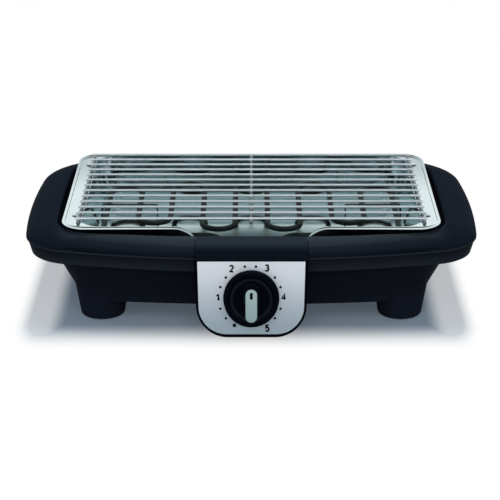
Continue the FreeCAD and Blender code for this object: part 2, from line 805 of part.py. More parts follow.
def make_base_tub():
    wall = loft(
        "tub_wall", [tub_outline("tub_foot", "tub_floor_z"), tub_outline("tub_head", "band_bottom_z")]
    )
    band = loft(
        "band", [band_outline("band_foot", "band_bottom_z"), band_outline("band_head", BAND_TOP_Z)]
    )
    foot_height = "(foot_top_z - foot_lift)"
    feet, wells, pads, posts = [], [], [], []
    for name, x, y in foot_places():
        foot = cone(f"foot_{name}", "foot_radius", "foot_draft", foot_height, x, y, "foot_lift")
        feet.append(round_edges(f"foot_{name}_round", foot, "foot_round", at_height("foot_lift")))
        well_height = "(foot_top_z - foot_lift - foot_floor)"
        wells.append(
            cone(
                f"foot_{name}_well",
                "foot_radius + foot_floor * tan(foot_draft) - skin",
                "foot_draft",
                well_height,
                x,
                y,
                "foot_lift + foot_floor",
            )
        )
        pads.append(cylinder(f"foot_{name}_seat", "pad_radius + pad_gap", "pad_height", x, y, "0"))
    for end, back in ENDS:
        for side, sign in SIDES:
            height = "(basin_floor_z - seat_gap - tub_floor_z)"
            posts.append(
                cone(
                    f"post_{end}_{side}",
                    f"post_radius + {height} * tan(post_draft)",
                    "-post_draft",
                    height,
                    f"{sign} * post_x",
                    f"{back} * post_y",
                    "tub_floor_z",
                )
            )
    body = fuse("tub_body", wall, band, *feet)
    hollow = loft(
        "tub_hollow",
        [
            tub_outline("tub_hollow_foot", "tub_floor_z + skin", "skin"),
            tub_outline("tub_hollow_head", "band_bottom_z + 2 * skin", "skin"),
        ],
    )
    channel = loft(
        "band_hollow",
        [
            band_outline("band_hollow_foot", "band_bottom_z + skin", "skin"),
            band_outline("band_hollow_head", f"{BAND_TOP_Z} + skin", "skin"),
        ],
    )
    shell = cut("tub_shell", body, hollow, channel, *wells, *pads)
    fill = recess_block("recess_fill", "skin", "recess_reach - skin", BAND_TOP_Z)
    walls = common("recess_walls", body, fill)
    back = box(
        "recess_back",
        (f"-{NOTCH} - skin", f"{NOTCH} + skin"),
        ("-recess_reach", "skin - recess_reach"),
        ("recess_bottom_z", BAND_TOP_Z),
    )
    ledge = box(
        "recess_ledge",
        ("-box_half_width", "box_half_width"),
        ("-recess_reach", "skin - recess_reach"),
        ("recess_bottom_z", "recess_top_z"),
    )
    holes = [
        cylinder(f"tub_hole_{name}", SCREW_HOLE, "3 * skin", x, y, "band_bottom_z - skin")
        for name, x, y in rim_screw_places()
    ]
    joined = fuse("tub_joined", shell, walls, back, ledge, *posts)
    recess = recess_block("recess", "0", "recess_reach", f"{CLEAR}")
    finish(cut("tub", joined, recess, *holes), "base_tub")


def rim_outline(name, z, share, inset="0"):
    """The rim at a share of the way from its outer edge to its inner lip."""

    def between(outer, inner):
        return f"{outer} + ({inner} - {outer}) * {share} - {inset}"

    return bowed_outline(
        name,
        z,
        between("rim_half_width", "(lip_half_width + lip_land)"),
        between("rim_half_depth", "(lip_half_depth + lip_land)"),
        between("rim_side_bow", "(lip_side_bow + lip_land)"),
        between("rim_front_bow", "(lip_front_bow + lip_land)"),
        between("rim_corner", "(lip_corner + lip_land)"),
    )


def crown_height(share):
    """The rim's height at a share of its width: half a straight slope, half a quarter round."""
    rise = (share + math.sqrt(1 - (1 - share) ** 2)) / 2
    return f"(rim_edge_z + {rise} * (lip_z - rim_edge_z))"


def make_rim_frame():
    shares = [step / CROWN_STEPS for step in range(CROWN_STEPS + 1)]
    edge = rim_outline("rim_edge", BAND_TOP_Z, 0)
    crown = [rim_outline(f"rim_crown_{i}", crown_height(share), share) for i, share in enumerate(shares)]
    under = [
        rim_outline(f"rim_under_{i}", f"{crown_height(share)} - skin", share)
        for i, share in enumerate(shares)
        if share
    ]
    foot = rim_outline("rim_under_foot", f"{BAND_TOP_Z} - skin", 0, "(band_inset + skin)")
    solid = fuse("rim_solid", loft("rim_side", [edge, crown[0]]), loft("rim_top", crown, ruled=False))
    lip, skirt = (
        bowed_outline(
            name,
            "band_bottom_z",
            f"lip_half_width + {wall}",
            f"lip_half_depth + {wall}",
            f"lip_side_bow + {wall}",
            f"lip_front_bow + {wall}",
            f"lip_corner + {wall}",
        )
        for name, wall in (("lip", "0"), ("skirt", "skin"))
    )
    opening = extrude("rim_opening", lip, f"{CLEAR}")
    ring = cut("rim_ring", solid, opening)
    doc.recompute()
    on_top = at_height("lip_z")
    rounded = round_edges(
        "rim_rounded",
        ring,
        "lip_round",
        lambda edge: on_top(edge) and edge.distToShape(opening.Shape)[0] < TOUCH,
    )
    hollow = cut("rim_hollow", loft("rim_under", [foot, *under]), extrude("rim_skirt", skirt, f"{CLEAR}"))
    ends = common("rim_ends", ring, recess_block("rim_end_block", "skin", "lip_half_depth", f"{CLEAR}"))
    flange_z = "(band_bottom_z + skin)"
    boss_top = f"({crown_height(BOSS_CROWN_SHARE)} - {flange_z})"
    bosses, pilots = [], []
    for name, x, y in rim_screw_places():
        bosses.append(cylinder(f"rim_boss_{name}", "rim_boss_radius", boss_top, x, y, flange_z))
        pilots.append(
            cylinder(f"rim_pilot_{name}", SCREW_HOLE, "screw_length", x, y, f"{flange_z} - skin")
        )
    joined = fuse("rim_joined", cut("rim_shell", rounded, hollow), ends, *bosses)
    notch = recess_block("rim_notch", "0", "0", f"{CLEAR}")
    finish(cut("rim", joined, notch, *pilots), "rim_frame")


def make_foot_pads():
    for name, x, y in foot_places():
        pad_solid = cylinder(f"pad_{name}", "pad_radius", "pad_height", x, y)
        rounded = round_edges(f"pad_{name}_round", pad_solid, "pad_round", at_height("0"))
        finish(rounded, f"foot_pad_{name}")


def make_rim_screws():
    screws = []
    for name, x, y in rim_screw_places():
        head_z = "band_bottom_z - screw_head_height"
        shank = cylinder(f"rim_shank_{name}", "screw_radius", "screw_length - skin", x, y, "band_bottom_z")
        head = cylinder(f"rim_head_{name}", "screw_head_radius", "screw_head_height", x, y, head_z)
        screws.append(fuse(f"rim_screw_{name}", shank, head))
    finish(group("rim_screw_group", screws), "rim_screws")


# The reflector tray: a pressed basin with a flange, a rolled bead and a front dip for the element's ends


def dip_curve():
    """The two arcs of the dip's flank: their radius, and the point where they meet."""
    length = "(dip_outer_x - dip_inner_x)"
    turn = f"(2 * atan(dip_depth / {length}))"
    return f"({length} / (2 * sin({turn})))", value(turn)


def add_dip_path(sketch, rise):
    """Draw the dip of the tray's front edge, raised by an amount, and return its two outer arcs."""
    radius_text, turn = dip_curve()
    radius = value(radius_text)
    lift = value(rise)
    high = value("flange_z") + lift
    low = high - value("dip_depth")
    outer, inner = value("dip_outer_x"), value("dip_inner_x")
    span = math.radians(turn)
    quarter = math.pi / 2
    left_top = add_arc(sketch, Vector(-outer, high - radius, 0), radius, quarter - span, quarter)
    left_foot = add_arc(sketch, Vector(-inner, low + radius, 0), radius, 3 * quarter - span, 3 * quarter)
    floor = sketch.addGeometry(Part.LineSegment(Vector(-inner, low, 0), Vector(inner, low, 0)), False)
    right_foot = add_arc(sketch, Vector(inner, low + radius, 0), radius, 3 * quarter, 3 * quarter + span)
    right_top = add_arc(sketch, Vector(outer, high - radius, 0), radius, quarter, quarter + span)
    joints = ((left_top, 1, left_foot, 1), (left_foot, 2, floor, 1), (floor, 2, right_foot, 1))
    for first, first_end, second, second_end in joints:
        sketch.addConstraint(Sketcher.Constraint("Tangent", first, first_end, second, second_end))
    sketch.addConstraint(Sketcher.Constraint("Tangent", right_foot, 2, right_top, 2))
    for item in (left_top, left_foot, right_foot, right_top):
        drive(sketch, "Radius", item, text=radius_text)
    low_text = f"flange_z + ({rise}) - dip_depth"
    pin(sketch, left_foot, 3, "-dip_inner_x", f"{low_text} + {radius_text}")
    pin(sketch, right_foot, 3, "dip_inner_x", f"{low_text} + {radius_text}")
    high_text = f"flange_z + ({rise})"
    pin(sketch, left_top, 2, "-dip_outer_x", high_text)
    pin(sketch, right_top, 1, "dip_outer_x", high_text)
    return left_top, right_top


def make_reflector_tray():
    body = new_body("tray")
    flange = body_sketch(body, "tray_flange", offset="flange_z - sheet")
    add_rectangle(flange, "tray_half_width", "tray_half_depth", "tray_corner")
    pad(body, flange, "sheet")
    walls = []
    for name, inset, foot, head in (
        ("outside", "0", "basin_floor_z", "flange_z"),
        ("inside", "sheet", "basin_floor_z + sheet", "flange_z"),
    ):
        foot_sketch = body_sketch(body, f"basin_{name}_foot", offset=foot)
        add_rectangle(
            foot_sketch,
            f"basin_half_width + sheet - basin_side_draft - {inset}",
            f"basin_half_depth + sheet - basin_front_draft - {inset}",
            f"basin_corner + sheet - {inset}",
        )
        head_sketch = body_sketch(body, f"basin_{name}_head", offset=head)
        add_rectangle(
            head_sketch,
            f"basin_half_width + sheet - {inset}",
            f"basin_half_depth + sheet - {inset}",
            f"basin_corner + sheet - {inset}",
        )
        walls.append((foot_sketch, head_sketch))
    for kind, name, (foot_sketch, head_sketch) in (
        ("PartDesign::AdditiveLoft", "basin", walls[0]),
        ("PartDesign::SubtractiveLoft", "basin_hollow", walls[1]),
    ):
        feature = body.newObject(kind, name)
        feature.Profile = foot_sketch
        feature.Sections = [head_sketch]
        feature.Ruled = True
    doc.recompute()
    inner_reach = "(basin_half_depth - basin_front_draft)"
    dip = body_sketch(body, "dip", "XZ_Plane", inner_reach)
    left_top, right_top = add_dip_path(dip, "-sheet / 2")
    close_dip(dip, left_top, right_top)
    pocket(body, dip, "tray_half_depth", reverse=True)
    finish_tray_edge(body)
    finish(body, "reflector_tray")


def close_dip(sketch, left_top, right_top):
    """Close the dip's path over the top of the tray."""
    outer = value("dip_outer_x")
    start = value("flange_z - sheet / 2")
    top = value("flange_z + 2 * bead_radius")
    left = sketch.addGeometry(Part.LineSegment(Vector(-outer, start, 0), Vector(-outer, top, 0)), False)
    roof = sketch.addGeometry(Part.LineSegment(Vector(-outer, top, 0), Vector(outer, top, 0)), False)
    right = sketch.addGeometry(Part.LineSegment(Vector(outer, top, 0), Vector(outer, start, 0)), False)
    for first, first_end, second, second_end in (
        (left_top, 2, left, 1),
        (left, 2, roof, 1),
        (roof, 2, right, 1),
        (right, 2, right_top, 1),
    ):
        sketch.addConstraint(Sketcher.Constraint("Coincident", first, first_end, second, second_end))
    sketch.addConstraint(Sketcher.Constraint("Vertical", left))
    sketch.addConstraint(Sketcher.Constraint("Vertical", right))
    sketch.addConstraint(Sketcher.Constraint("Horizontal", roof))
    drive(sketch, "DistanceY", -1, 1, roof, 1, text="flange_z + 2 * bead_radius")


def add_pipe(body, profile, path, binormal=None):
    """Sweep a profile along a path and join it to the body."""
    item = body.newObject("PartDesign::AdditivePipe", f"{profile.Name}_pipe")
    item.Profile = profile
    item.Spine = path
    if binormal:
        item.Mode = "Binormal"
        item.Binormal = binormal
    return item


def add_bead_path(sketch):
    """Draw the tray's edge from the dip's right shoulder round the back to its left shoulder."""
    wide, deep = value("tray_half_width"), value("tray_half_depth")
    outer, corner = value("dip_outer_x"), value("tray_corner")
    quarter = math.pi / 2
    in_x, in_y = wide - corner, deep - corner
    straight = [
        sketch.addGeometry(Part.LineSegment(Vector(*start, 0), Vector(*end, 0)), False)
        for start, end in (
            ((outer, -deep), (in_x, -deep)),
            ((wide, -in_y), (wide, in_y)),
            ((in_x, deep), (-in_x, deep)),
            ((-wide, in_y), (-wide, -in_y)),
            ((-in_x, -deep), (-outer, -deep)),
        )
    ]
    rounds = [
        add_arc(sketch, Vector(sx * in_x, sy * in_y, 0), corner, start * quarter, (start + 1) * quarter)
        for sx, sy, start in ((1, -1, -1), (1, 1, 0), (-1, 1, 1), (-1, -1, 2))
    ]
    for i, item in enumerate(rounds):
        sketch.addConstraint(Sketcher.Constraint("Tangent", straight[i], 2, item, 1))
        sketch.addConstraint(Sketcher.Constraint("Tangent", item, 2, straight[i + 1], 1))
        drive(sketch, "Radius", item, text="tray_corner")
    for item in (straight[0], straight[2], straight[4]):
        sketch.addConstraint(Sketcher.Constraint("Horizontal", item))
    for item in (straight[1], straight[3]):
        sketch.addConstraint(Sketcher.Constraint("Vertical", item))
    pin(sketch, straight[0], 1, "dip_outer_x", "-tray_half_depth")
    pin(sketch, straight[4], 2, "-dip_outer_x", "-tray_half_depth")
    drive(sketch, "DistanceX", -1, 1, straight[1], 1, text="tray_half_width")
    drive(sketch, "DistanceX", straight[3], 1, -1, 1, text="tray_half_width")
    drive(sketch, "DistanceY", -1, 1, straight[2], 1, text="tray_half_depth")


def finish_tray_edge(body):
    """Give the tray its dip's strip, its rolled bead and the slots for the grid's pegs."""
    strip_path = body_sketch(body, "strip_path", "XZ_Plane", "tray_half_depth")
    add_dip_path(strip_path, "-sheet / 2")
    strip = body_sketch(body, "strip", "YZ_Plane", "-dip_outer_x")
    inner = "(basin_half_depth - sheet)"
    add_profile(
        strip,
        [
            ("-tray_half_depth", "flange_z - sheet", None),
            (f"-{inner}", "flange_z - sheet", None),
            (f"-{inner}", "flange_z", None),
            ("-tray_half_depth", "flange_z", None),
        ],
    )
    add_pipe(body, strip, strip_path, Vector(0, 1, 0))
    dip_bead_path = body_sketch(body, "dip_bead_path", "XZ_Plane", "tray_half_depth")
    add_dip_path(dip_bead_path, "-bead_drop")
    dip_bead = body_sketch(body, "dip_bead", "YZ_Plane", "-dip_outer_x")
    add_circle(dip_bead, "bead_radius", "-tray_half_depth", "flange_z - bead_drop")
    add_pipe(body, dip_bead, dip_bead_path, Vector(0, 1, 0))
    bead_path = body_sketch(body, "bead_path", offset="flange_z - bead_drop")
    add_bead_path(bead_path)
    bead = body_sketch(body, "bead", "YZ_Plane", "dip_outer_x")
    add_circle(bead, "bead_radius", "-tray_half_depth", "flange_z - bead_drop")
    add_pipe(body, bead, bead_path, Vector(0, 0, 1))
    slots = body_sketch(body, "slots", offset="flange_z")
    for side, sign in SIDES:
        for end, back in ENDS:
            x, y = f"{sign} * peg_x", f"{back} * peg_y"
            add_rectangle(slots, "peg_radius + slot_gap", "slot_half_length", None, x, y)
    pocket(body, slots, "2 * sheet")


# The wire grid: cooking wires across three bars, with four bent pegs that drop into the tray's slots

BAR_Z = "(flange_z + seat_gap + bar_radius)"


def wire(name, radius, half_length, axis, x, y, z):
    """A straight wire with rounded ends, centred on a point."""
    rod = cylinder(name, radius, f"2 * ({half_length})")
    turn_axis, angle = (Vector(0, 1, 0), 90) if axis == "x" else (Vector(1, 0, 0), -90)
    rod.Placement.Rotation = FreeCAD.Rotation(turn_axis, angle)
    start = f"({x if axis == 'x' else y}) - ({half_length})"
    place(rod, start if axis == "x" else x, y if axis == "x" else start, z)
    return round_edges(
        f"{name}_round", rod, "wire_end_round", lambda edge: isinstance(edge.Curve, Part.Circle)
    )


def make_grid():
    wire_z = f"({BAR_Z} + bar_radius + wire_radius)"
    for i in range(WIRE_COUNT):
        step = i - (WIRE_COUNT - 1) / 2
        y = f"{step} * wire_pitch"
        rod = wire(f"rod_{i + 1:02d}", "wire_radius", "wire_half_length", "x", "0", y, wire_z)
        finish(rod, f"grid_wire_{i + 1:02d}")
    for name, x in (("left", "-bar_x"), ("centre", "0"), ("right", "bar_x")):
        finish(wire(f"bar_{name}", "bar_radius", "bar_half_length", "y", x, "0", BAR_Z), f"grid_bar_{name}")
    pegs = []
    for end, back in ENDS:
        path = front_sketch(f"peg_path_{end}", f"-({back} * peg_y)")
        add_path(
            path,
            [
                ("bar_x + bar_radius", BAR_Z, None),
                ("peg_x", BAR_Z, "peg_bend"),
                ("peg_x", f"{BAR_Z} - peg_bend - peg_length", None),
            ],
        )
        ring = standing_sketch(
            f"peg_ring_{end}", Vector(0, 1, 0), 90, "bar_x + bar_radius", f"{back} * peg_y", BAR_Z
        )
        add_circle(ring, "peg_radius")
        right = doc.addObject("Part::Sweep", f"peg_{end}_right")
        right.Sections = [ring]
        right.Spine = (path, [f"Edge{i}" for i in (1, 2, 3)])
        right.Solid = True
        left = doc.addObject("Part::Mirroring", f"peg_{end}_left")
        left.Source = right
        left.Normal = Vector(1, 0, 0)
        pegs += [left, right]
    finish(group("pegs", pegs), "grid_pegs")


# The heating element: one tube in ten runs, whose two ends rise over the tray's dip into the control box


def rounded_wire(corners):
    """A wire through points, each with the bend radius of its corner."""
    edges = []
    start = corners[0][0]
    for i in range(1, len(corners) - 1):
        point, radius = corners[i]
        before = (corners[i - 1][0] - point).normalize()
        after = (corners[i + 1][0] - point).normalize()
        half_angle = before.getAngle(after) / 2
        arrive = point + before * (radius / math.tan(half_angle))
        leave = point + after * (radius / math.tan(half_angle))
        inward = (before + after).normalize()
        middle = point + inward * (radius / math.sin(half_angle) - radius)
        if (arrive - start).Length > TOUCH:
            edges.append(Part.makeLine(start, arrive))
        edges.append(Part.Arc(arrive, middle, leave).toShape())
        start = leave
    edges.append(Part.makeLine(start, corners[-1][0]))
    return Part.Wire(edges)


def round_tube(corners, radius):
    """A round rod along rounded corners."""
    path = rounded_wire(corners)
    first = path.Edges[0]
    ring = Part.makeCircle(radius, corners[0][0], first.tangentAt(first.FirstParameter))
    return path.makePipe(Part.Face(Part.Wire(ring)))


END_REACH = "(front_run_y + front_bend + end_fall_bend * sin(end_slope))"
END_Z = "(end_z - end_fall_bend * (1 - cos(end_slope)))"


def end_point(sign, along):
    """A point on the straight end of the element, a distance past its last bend."""
    return Vector(
        value(f"{sign} * end_x"),
        value(f"-{END_REACH} - ({along}) * cos(end_slope)"),
        value(f"{END_Z} - ({along}) * sin(end_slope)"),
    )


def end_rod(name, sign, radius, start, length):
    """A cylinder on the axis of the element's straight end."""
    item = cylinder(name, radius, length)
    item.Placement = FreeCAD.Placement(Vector(), FreeCAD.Rotation(Vector(1, 0, 0), 1))
    bind(item, Placement__Rotation__Angle="90 + end_slope")
    return place(
        item,
        f"{sign} * end_x",
        f"-{END_REACH} - ({start}) * cos(end_slope)",
        f"{END_Z} - ({start}) * sin(end_slope)",
    )


def element_half(sign):
    """Corners of half the element, from its end in the box to the back of its middle run."""
    low, high = value("element_z"), value("end_z")
    front_y = -value("front_run_y")
    front_bend = value("front_bend")
    rise_x = value("end_rise_x")
    rise_foot = rise_x + value("(end_z - element_z) / tan(end_rise_angle)")
    outer_x, pitch = value("outer_run_x"), value("run_pitch")
    turn_bend = pitch / 2
    fall_y = value("-front_run_y - front_bend - end_fall_bend * tan(end_slope / 2)")
    corners = [
        (end_point(sign, "end_length"), 0),
        (Vector(sign * value("end_x"), fall_y, high), value("end_fall_bend")),
        (Vector(sign * value("end_x"), front_y, high), front_bend),
        (Vector(sign * rise_x, front_y, high), value("end_rise_bend")),
        (Vector(sign * rise_foot, front_y, low), value("end_rise_bend")),
        (Vector(sign * outer_x, front_y, low), front_bend),
    ]
    turns = [
        value(text)
        for text in (
            "back_turn_y - outer_back_step",
            "outer_front_step - front_turn_y",
            "back_turn_y",
            "-front_turn_y",
            "back_turn_y",
        )
    ]
    for i in range(RUN_COUNT // 2):
        x = sign * (outer_x - i * pitch)
        ends = turns[max(i - 1, 0) : i + 1]
        corners += [(Vector(x, turn, low), turn_bend) for turn in ends]
    return corners


def make_heating_element():
    element = doc.addObject("Part::Feature", "element")
    left, right = element_half(-1), element_half(1)
    element.Shape = round_tube(left + right[::-1], value("tube_radius"))
    finish(element, "heating_element")
    top = "(element_z - tube_radius - seat_gap)"
    foot = "(basin_floor_z + sheet + seat_gap)"
    for side, sign in SIDES:
        body = new_body(f"strap_{side}")
        sketch = body_sketch(body, f"strap_{side}_shape", "XZ_Plane", "-strap_y")
        inner, outer = f"{sign} * strap_inner_x", f"{sign} * strap_outer_x"
        inner_face, outer_face = (
            f"{sign} * (strap_inner_x + strap_sheet)",
            f"{sign} * (strap_outer_x - strap_sheet)",
        )
        add_profile(
            sketch,
            [
                (inner, foot, None),
                (inner_face, foot, None),
                (inner_face, f"{top} - strap_sheet", "strap_bend - strap_sheet"),
                (outer_face, f"{top} - strap_sheet", "strap_bend - strap_sheet"),
                (outer_face, foot, None),
                (outer, foot, None),
                (outer, top, "strap_bend"),
                (inner, top, "strap_bend"),
            ],
        )
        pad(body, sketch, "strap_width", midplane=True)
        finish(body, f"element_support_{side}")


# The control box: a cover hooked over the base's recess, a back plate and a fascia in its leaning front

BOX_REAR = "(recess_reach + box_gap)"
BOX_INSIDE = f"({BOX_REAR} + box_back_plate)"
HOOK_FACE = "(recess_reach - skin - seat_gap)"
TOP_REAR = f"({HOOK_FACE} - hook_lip)"
CROWN_REACH = f"(({TOP_REAR} + box_top_reach) / 2)"
CROWN_Z = "((box_top_z + box_front_z) / 2 + box_crown)"
FASCIA_DEPTH = "(fascia_plate + box_wall)"
CLAMP_Z = f"({END_Z} - ({BOX_INSIDE} + clamp_sheet / 2 - {END_REACH}) * tan(end_slope))"


def roof_z(reach):
    """The height of the rear half of the box's crowned top at a distance to the front."""
    fall = f"(box_top_z - {CROWN_Z}) / ({CROWN_REACH} - {TOP_REAR})"
    return f"(box_top_z - (({reach}) - {TOP_REAR}) * {fall})"


def front_reach(z):
    """How far the box's leaning front stands out at a height."""
    return f"(box_top_reach + (box_front_z - ({z})) * tan(fascia_tilt))"


def on_leaning_front(edge):
    """A test that picks the edges that lie in the box's leaning front."""
    tilt = math.radians(value("fascia_tilt"))
    corner = Vector(0, -value("box_top_reach"), value("box_front_z"))
    out = Vector(0, -math.cos(tilt), math.sin(tilt))
    points = edge.discretize(3)
    return max(abs((point - corner).dot(out)) for point in points) < TOUCH


def box_outline(name, inset, reach, length, top):
    """The box as seen from the front, drawn out towards the front."""
    sketch = front_sketch(name, reach)
    taper = f"(box_half_width - box_foot_half_width) / (box_top_z - box_bottom_z)"
    top_half = f"(box_foot_half_width + (({top}) - box_bottom_z) * {taper} - ({inset}))"
    foot_half = f"(box_foot_half_width + ({inset}) * {taper} - ({inset}))"
    foot_z = f"(box_bottom_z + ({inset}))"
    add_profile(
        sketch,
        [
            (f"-{top_half}", top, None),
            (f"-{foot_half}", foot_z, f"box_corner - ({inset})"),
            (foot_half, foot_z, f"box_corner - ({inset})"),
            (top_half, top, None),
        ],
    )
    return extrude(f"{name}_solid", sketch, length)


def box_profile(name, corners):
    """The box as seen from the side, drawn out to both sides."""
    sketch = side_sketch(name)
    add_profile(sketch, corners)
    return extrude(f"{name}_solid", sketch, "box_half_width + box_wall", "box_half_width + box_wall")


def add_fascia_outline(sketch, grow):
    """Draw the fascia plate's outline, grown by a clearance."""
    add_profile(
        sketch,
        [
            (f"-(fascia_half_width + {grow})", f"fascia_top + {grow}", f"fascia_top_corner + {grow}"),
            (f"-(fascia_foot_half_width + {grow})", f"-(fascia_foot + {grow})", f"fascia_corner + {grow}"),
            (f"fascia_foot_half_width + {grow}", f"-(fascia_foot + {grow})", f"fascia_corner + {grow}"),
            (f"fascia_half_width + {grow}", f"fascia_top + {grow}", f"fascia_top_corner + {grow}"),
        ],
    )


def box_screw_places():
    """Where the box's screws stand: name, x and height."""
    for side, sign in SIDES:
        yield f"top_{side}", f"{sign} * box_boss_top_x", "box_boss_top_z"
        yield f"foot_{side}", f"{sign} * box_boss_foot_x", "box_boss_foot_z"


def clamp_screw_places():
    """Where the clamp's screws stand: name, x and height."""
    for side, sign in SIDES:
        yield side, f"{sign} * clamp_screw_x", CLAMP_Z


def fascia_holes(name):
    """Holes through the box's front for the bush and for the two thermostat screws."""
    depth = f"({FASCIA_DEPTH} + box_wall)"
    through = f"({depth} + box_wall)"
    holes = [on_fascia(cylinder(f"{name}_bush", "bush_radius + box_fit", through), depth)]
    for end, sign in (("foot", -1), ("head", 1)):
        hole = cylinder(f"{name}_{end}", SCREW_HOLE, through)
        holes.append(on_fascia(hole, depth, up=f"{sign} * thermostat_screw_y"))
    return holes


def make_box_cover():
    inner_front_z = "(box_front_z - box_wall)"
    inner_foot_z = "(box_bottom_z + box_wall)"
    beam_foot_z = "(recess_top_z - box_wall)"
    skin_depth = f"({FASCIA_DEPTH} / cos(fascia_tilt))"
    outside = common(
        "cover_outside",
        box_profile(
            "cover_side",
            [
                (f"-{BOX_REAR}", "box_bottom_z", None),
                (f"-{BOX_REAR}", "recess_top_z + seat_gap", None),
                (f"-{HOOK_FACE}", "recess_top_z + seat_gap", None),
                (f"-{HOOK_FACE}", "recess_top_z - hook_depth", None),
                (f"-{TOP_REAR}", "recess_top_z - hook_depth", None),
                (f"-{TOP_REAR}", "box_top_z", "box_edge"),
                (f"-{CROWN_REACH}", CROWN_Z, "box_crown_bend"),
                ("-box_top_reach", "box_front_z", None),
                (f"-{front_reach('box_bottom_z')}", "box_bottom_z", None),
            ],
        ),
        box_outline("cover_front", "0", "0", f"{CLEAR} + box_top_reach", "box_top_z + box_wall"),
    )
    inside = common(
        "cover_inside",
        box_profile(
            "cavity_side",
            [
                ("-recess_reach", inner_foot_z, None),
                ("-recess_reach", beam_foot_z, None),
                (f"-{BOX_INSIDE}", beam_foot_z, None),
                (f"-{BOX_INSIDE}", f"{roof_z(BOX_INSIDE)} - roof_skin", None),
                (f"-{CROWN_REACH}", f"{CROWN_Z} - roof_skin", None),
                (f"{skin_depth} - {front_reach(inner_front_z)}", inner_front_z, None),
                (f"{skin_depth} - {front_reach(inner_foot_z)}", inner_foot_z, None),
            ],
        ),
        box_outline("cavity_front", "box_wall", "0", f"{CLEAR} + box_top_reach", "box_top_z + box_wall"),
    )
    bosses = []
    for name, x, z in box_screw_places():
        reach = f"({front_reach(z)} - {FASCIA_DEPTH} / 2)"
        length = f"{reach} - {BOX_INSIDE}"
        bosses.append(cylinder_back(f"box_boss_{name}", "box_boss_radius", length, x, f"-{reach}", z))
    pilot_y = f"-{BOX_INSIDE} - screw_length"
    pilots = [
        cylinder_back(f"box_pilot_{name}", SCREW_HOLE, "screw_length", x, pilot_y, z)
        for name, x, z in box_screw_places()
    ]
    pilots += [
        cylinder_back(f"clamp_pilot_{name}", SCREW_HOLE, "clamp_screw_length", x, f"-{BOX_INSIDE}", z)
        for name, x, z in clamp_screw_places()
    ]
    bores = [
        end_rod(f"cover_bore_{side}", sign, "tube_radius + 2 * seat_gap", "-end_length", "2 * end_length")
        for side, sign in SIDES
    ]
    window = doc.addObject("Sketcher::SketchObject", "fascia_seat")
    add_fascia_outline(window, "box_fit")
    on_fascia(window, "fascia_plate")
    recess = extrude("fascia_seat_solid", window, "2 * fascia_plate")
    gland_hole = cylinder("gland_hole", "gland_radius + box_fit", "3 * box_wall")
    place(gland_hole, "gland_x", "-gland_reach", "box_bottom_z - box_wall")
    holes = fascia_holes("cover_hole")
    rounded = round_edges("cover_rounded", outside, "box_edge", on_leaning_front)
    shell = fuse("cover_shell", cut("cover_hollow", rounded, inside), *bosses)
    finish(cut("cover", shell, recess, gland_hole, *bores, *pilots, *holes), "box_cover")


def make_box_back():
    inset = "(box_wall + box_fit)"
    plate = box_outline("back", inset, BOX_REAR, "box_back_plate", "recess_top_z - box_wall - box_fit")
    head_y = f"-{BOX_REAR} - flush_head"
    tip_y = f"-{BOX_REAR} - box_screw_length"
    sinks, screws = [], []
    for name, x, z in box_screw_places():
        hole = cylinder_back(f"back_hole_{name}", SCREW_HOLE, "box_screw_length", x, tip_y, z)
        sink = cylinder_back(f"back_sink_{name}", HEAD_SINK, "box_back_plate", x, head_y, z)
        sinks += [hole, sink]
        shank = cylinder_back(f"box_shank_{name}", "screw_radius", "box_screw_length", x, tip_y, z)
        head = cylinder_back(f"box_head_{name}", "screw_head_radius", "flush_head", x, head_y, z)
        screws.append(fuse(f"box_screw_{name}", shank, head))
    finish(cut("back_plate", plate, *sinks), "box_back")
    finish(group("box_screw_group", screws), "box_screws")


def finish_on_fascia(item, label):
    """Name a finished piece that was drawn on the fascia's axes."""
    on_fascia(item, "0", "base_centre_y")
    item.Label = label
    pieces.append(item)


def make_fascia():
    body = new_body("fascia")
    outline = body_sketch(body, "fascia_outline", offset="-fascia_plate")
    add_fascia_outline(outline, "0")
    add_circle(outline, "bush_radius + box_fit")
    for sign in (-1, 1):
        add_circle(outline, SCREW_HOLE, "0", f"{sign} * thermostat_screw_y")
    pad(body, outline, "fascia_plate")
    finish_on_fascia(body, "fascia_plate")


def make_knob():
    body = new_body("knob_body")
    turned = body_sketch(body, "knob_turned", "XZ_Plane")
    under = "(knob_dish_z - knob_wall)"
    add_profile(
        turned,
        [
            ("0", "knob_hub_z", None),
            ("knob_hub_radius", "knob_hub_z", None),
            ("knob_hub_radius", under, None),
            ("knob_radius - knob_wall - knob_draft", under, None),
            ("knob_radius - knob_wall", "knob_gap", None),
            ("knob_radius", "knob_gap", None),
            ("knob_radius", "knob_skirt", None),
            ("knob_top_radius", "knob_height", "knob_edge"),
            ("knob_top_radius - knob_rim", "knob_height", "knob_edge"),
            ("knob_dish_radius", "knob_dish_z", None),
            ("0", "knob_dish_z", None),
        ],
    )
    revolve(body, turned)
    doc.recompute()
    grip = body_sketch(body, "grip", offset=under)
    add_stadium(grip, "grip_half_width", "grip_foot", "grip_top")
    pad(body, grip, f"grip_height - {under}")
    body_round(body, "grip_round", at_height("grip_height"))
    seat = body_sketch(body, "insert_seat", offset="grip_height")
    add_stadium(
        seat, "insert_half_width + insert_fit", "insert_foot + insert_fit", "insert_top + insert_fit"
    )
    pocket(body, seat, "insert_sheet - insert_proud")
    bore = body_sketch(body, "knob_bore", offset="knob_hub_z")
    add_flatted_round(bore, "shaft_radius + shaft_fit", "shaft_flat + shaft_fit")
    pocket(body, bore, "shaft_top + seat_gap - knob_hub_z", reverse=True)
    finish_on_fascia(body, "knob")
    insert = new_body("insert")
    outline = body_sketch(insert, "insert_outline", offset="grip_height + insert_proud - insert_sheet")
    add_stadium(outline, "insert_half_width", "insert_foot", "insert_top")
    pad(insert, outline, "insert_sheet")
    body_round(insert, "insert_round", at_height("grip_height + insert_proud"))
    finish_on_fascia(insert, "knob_insert")


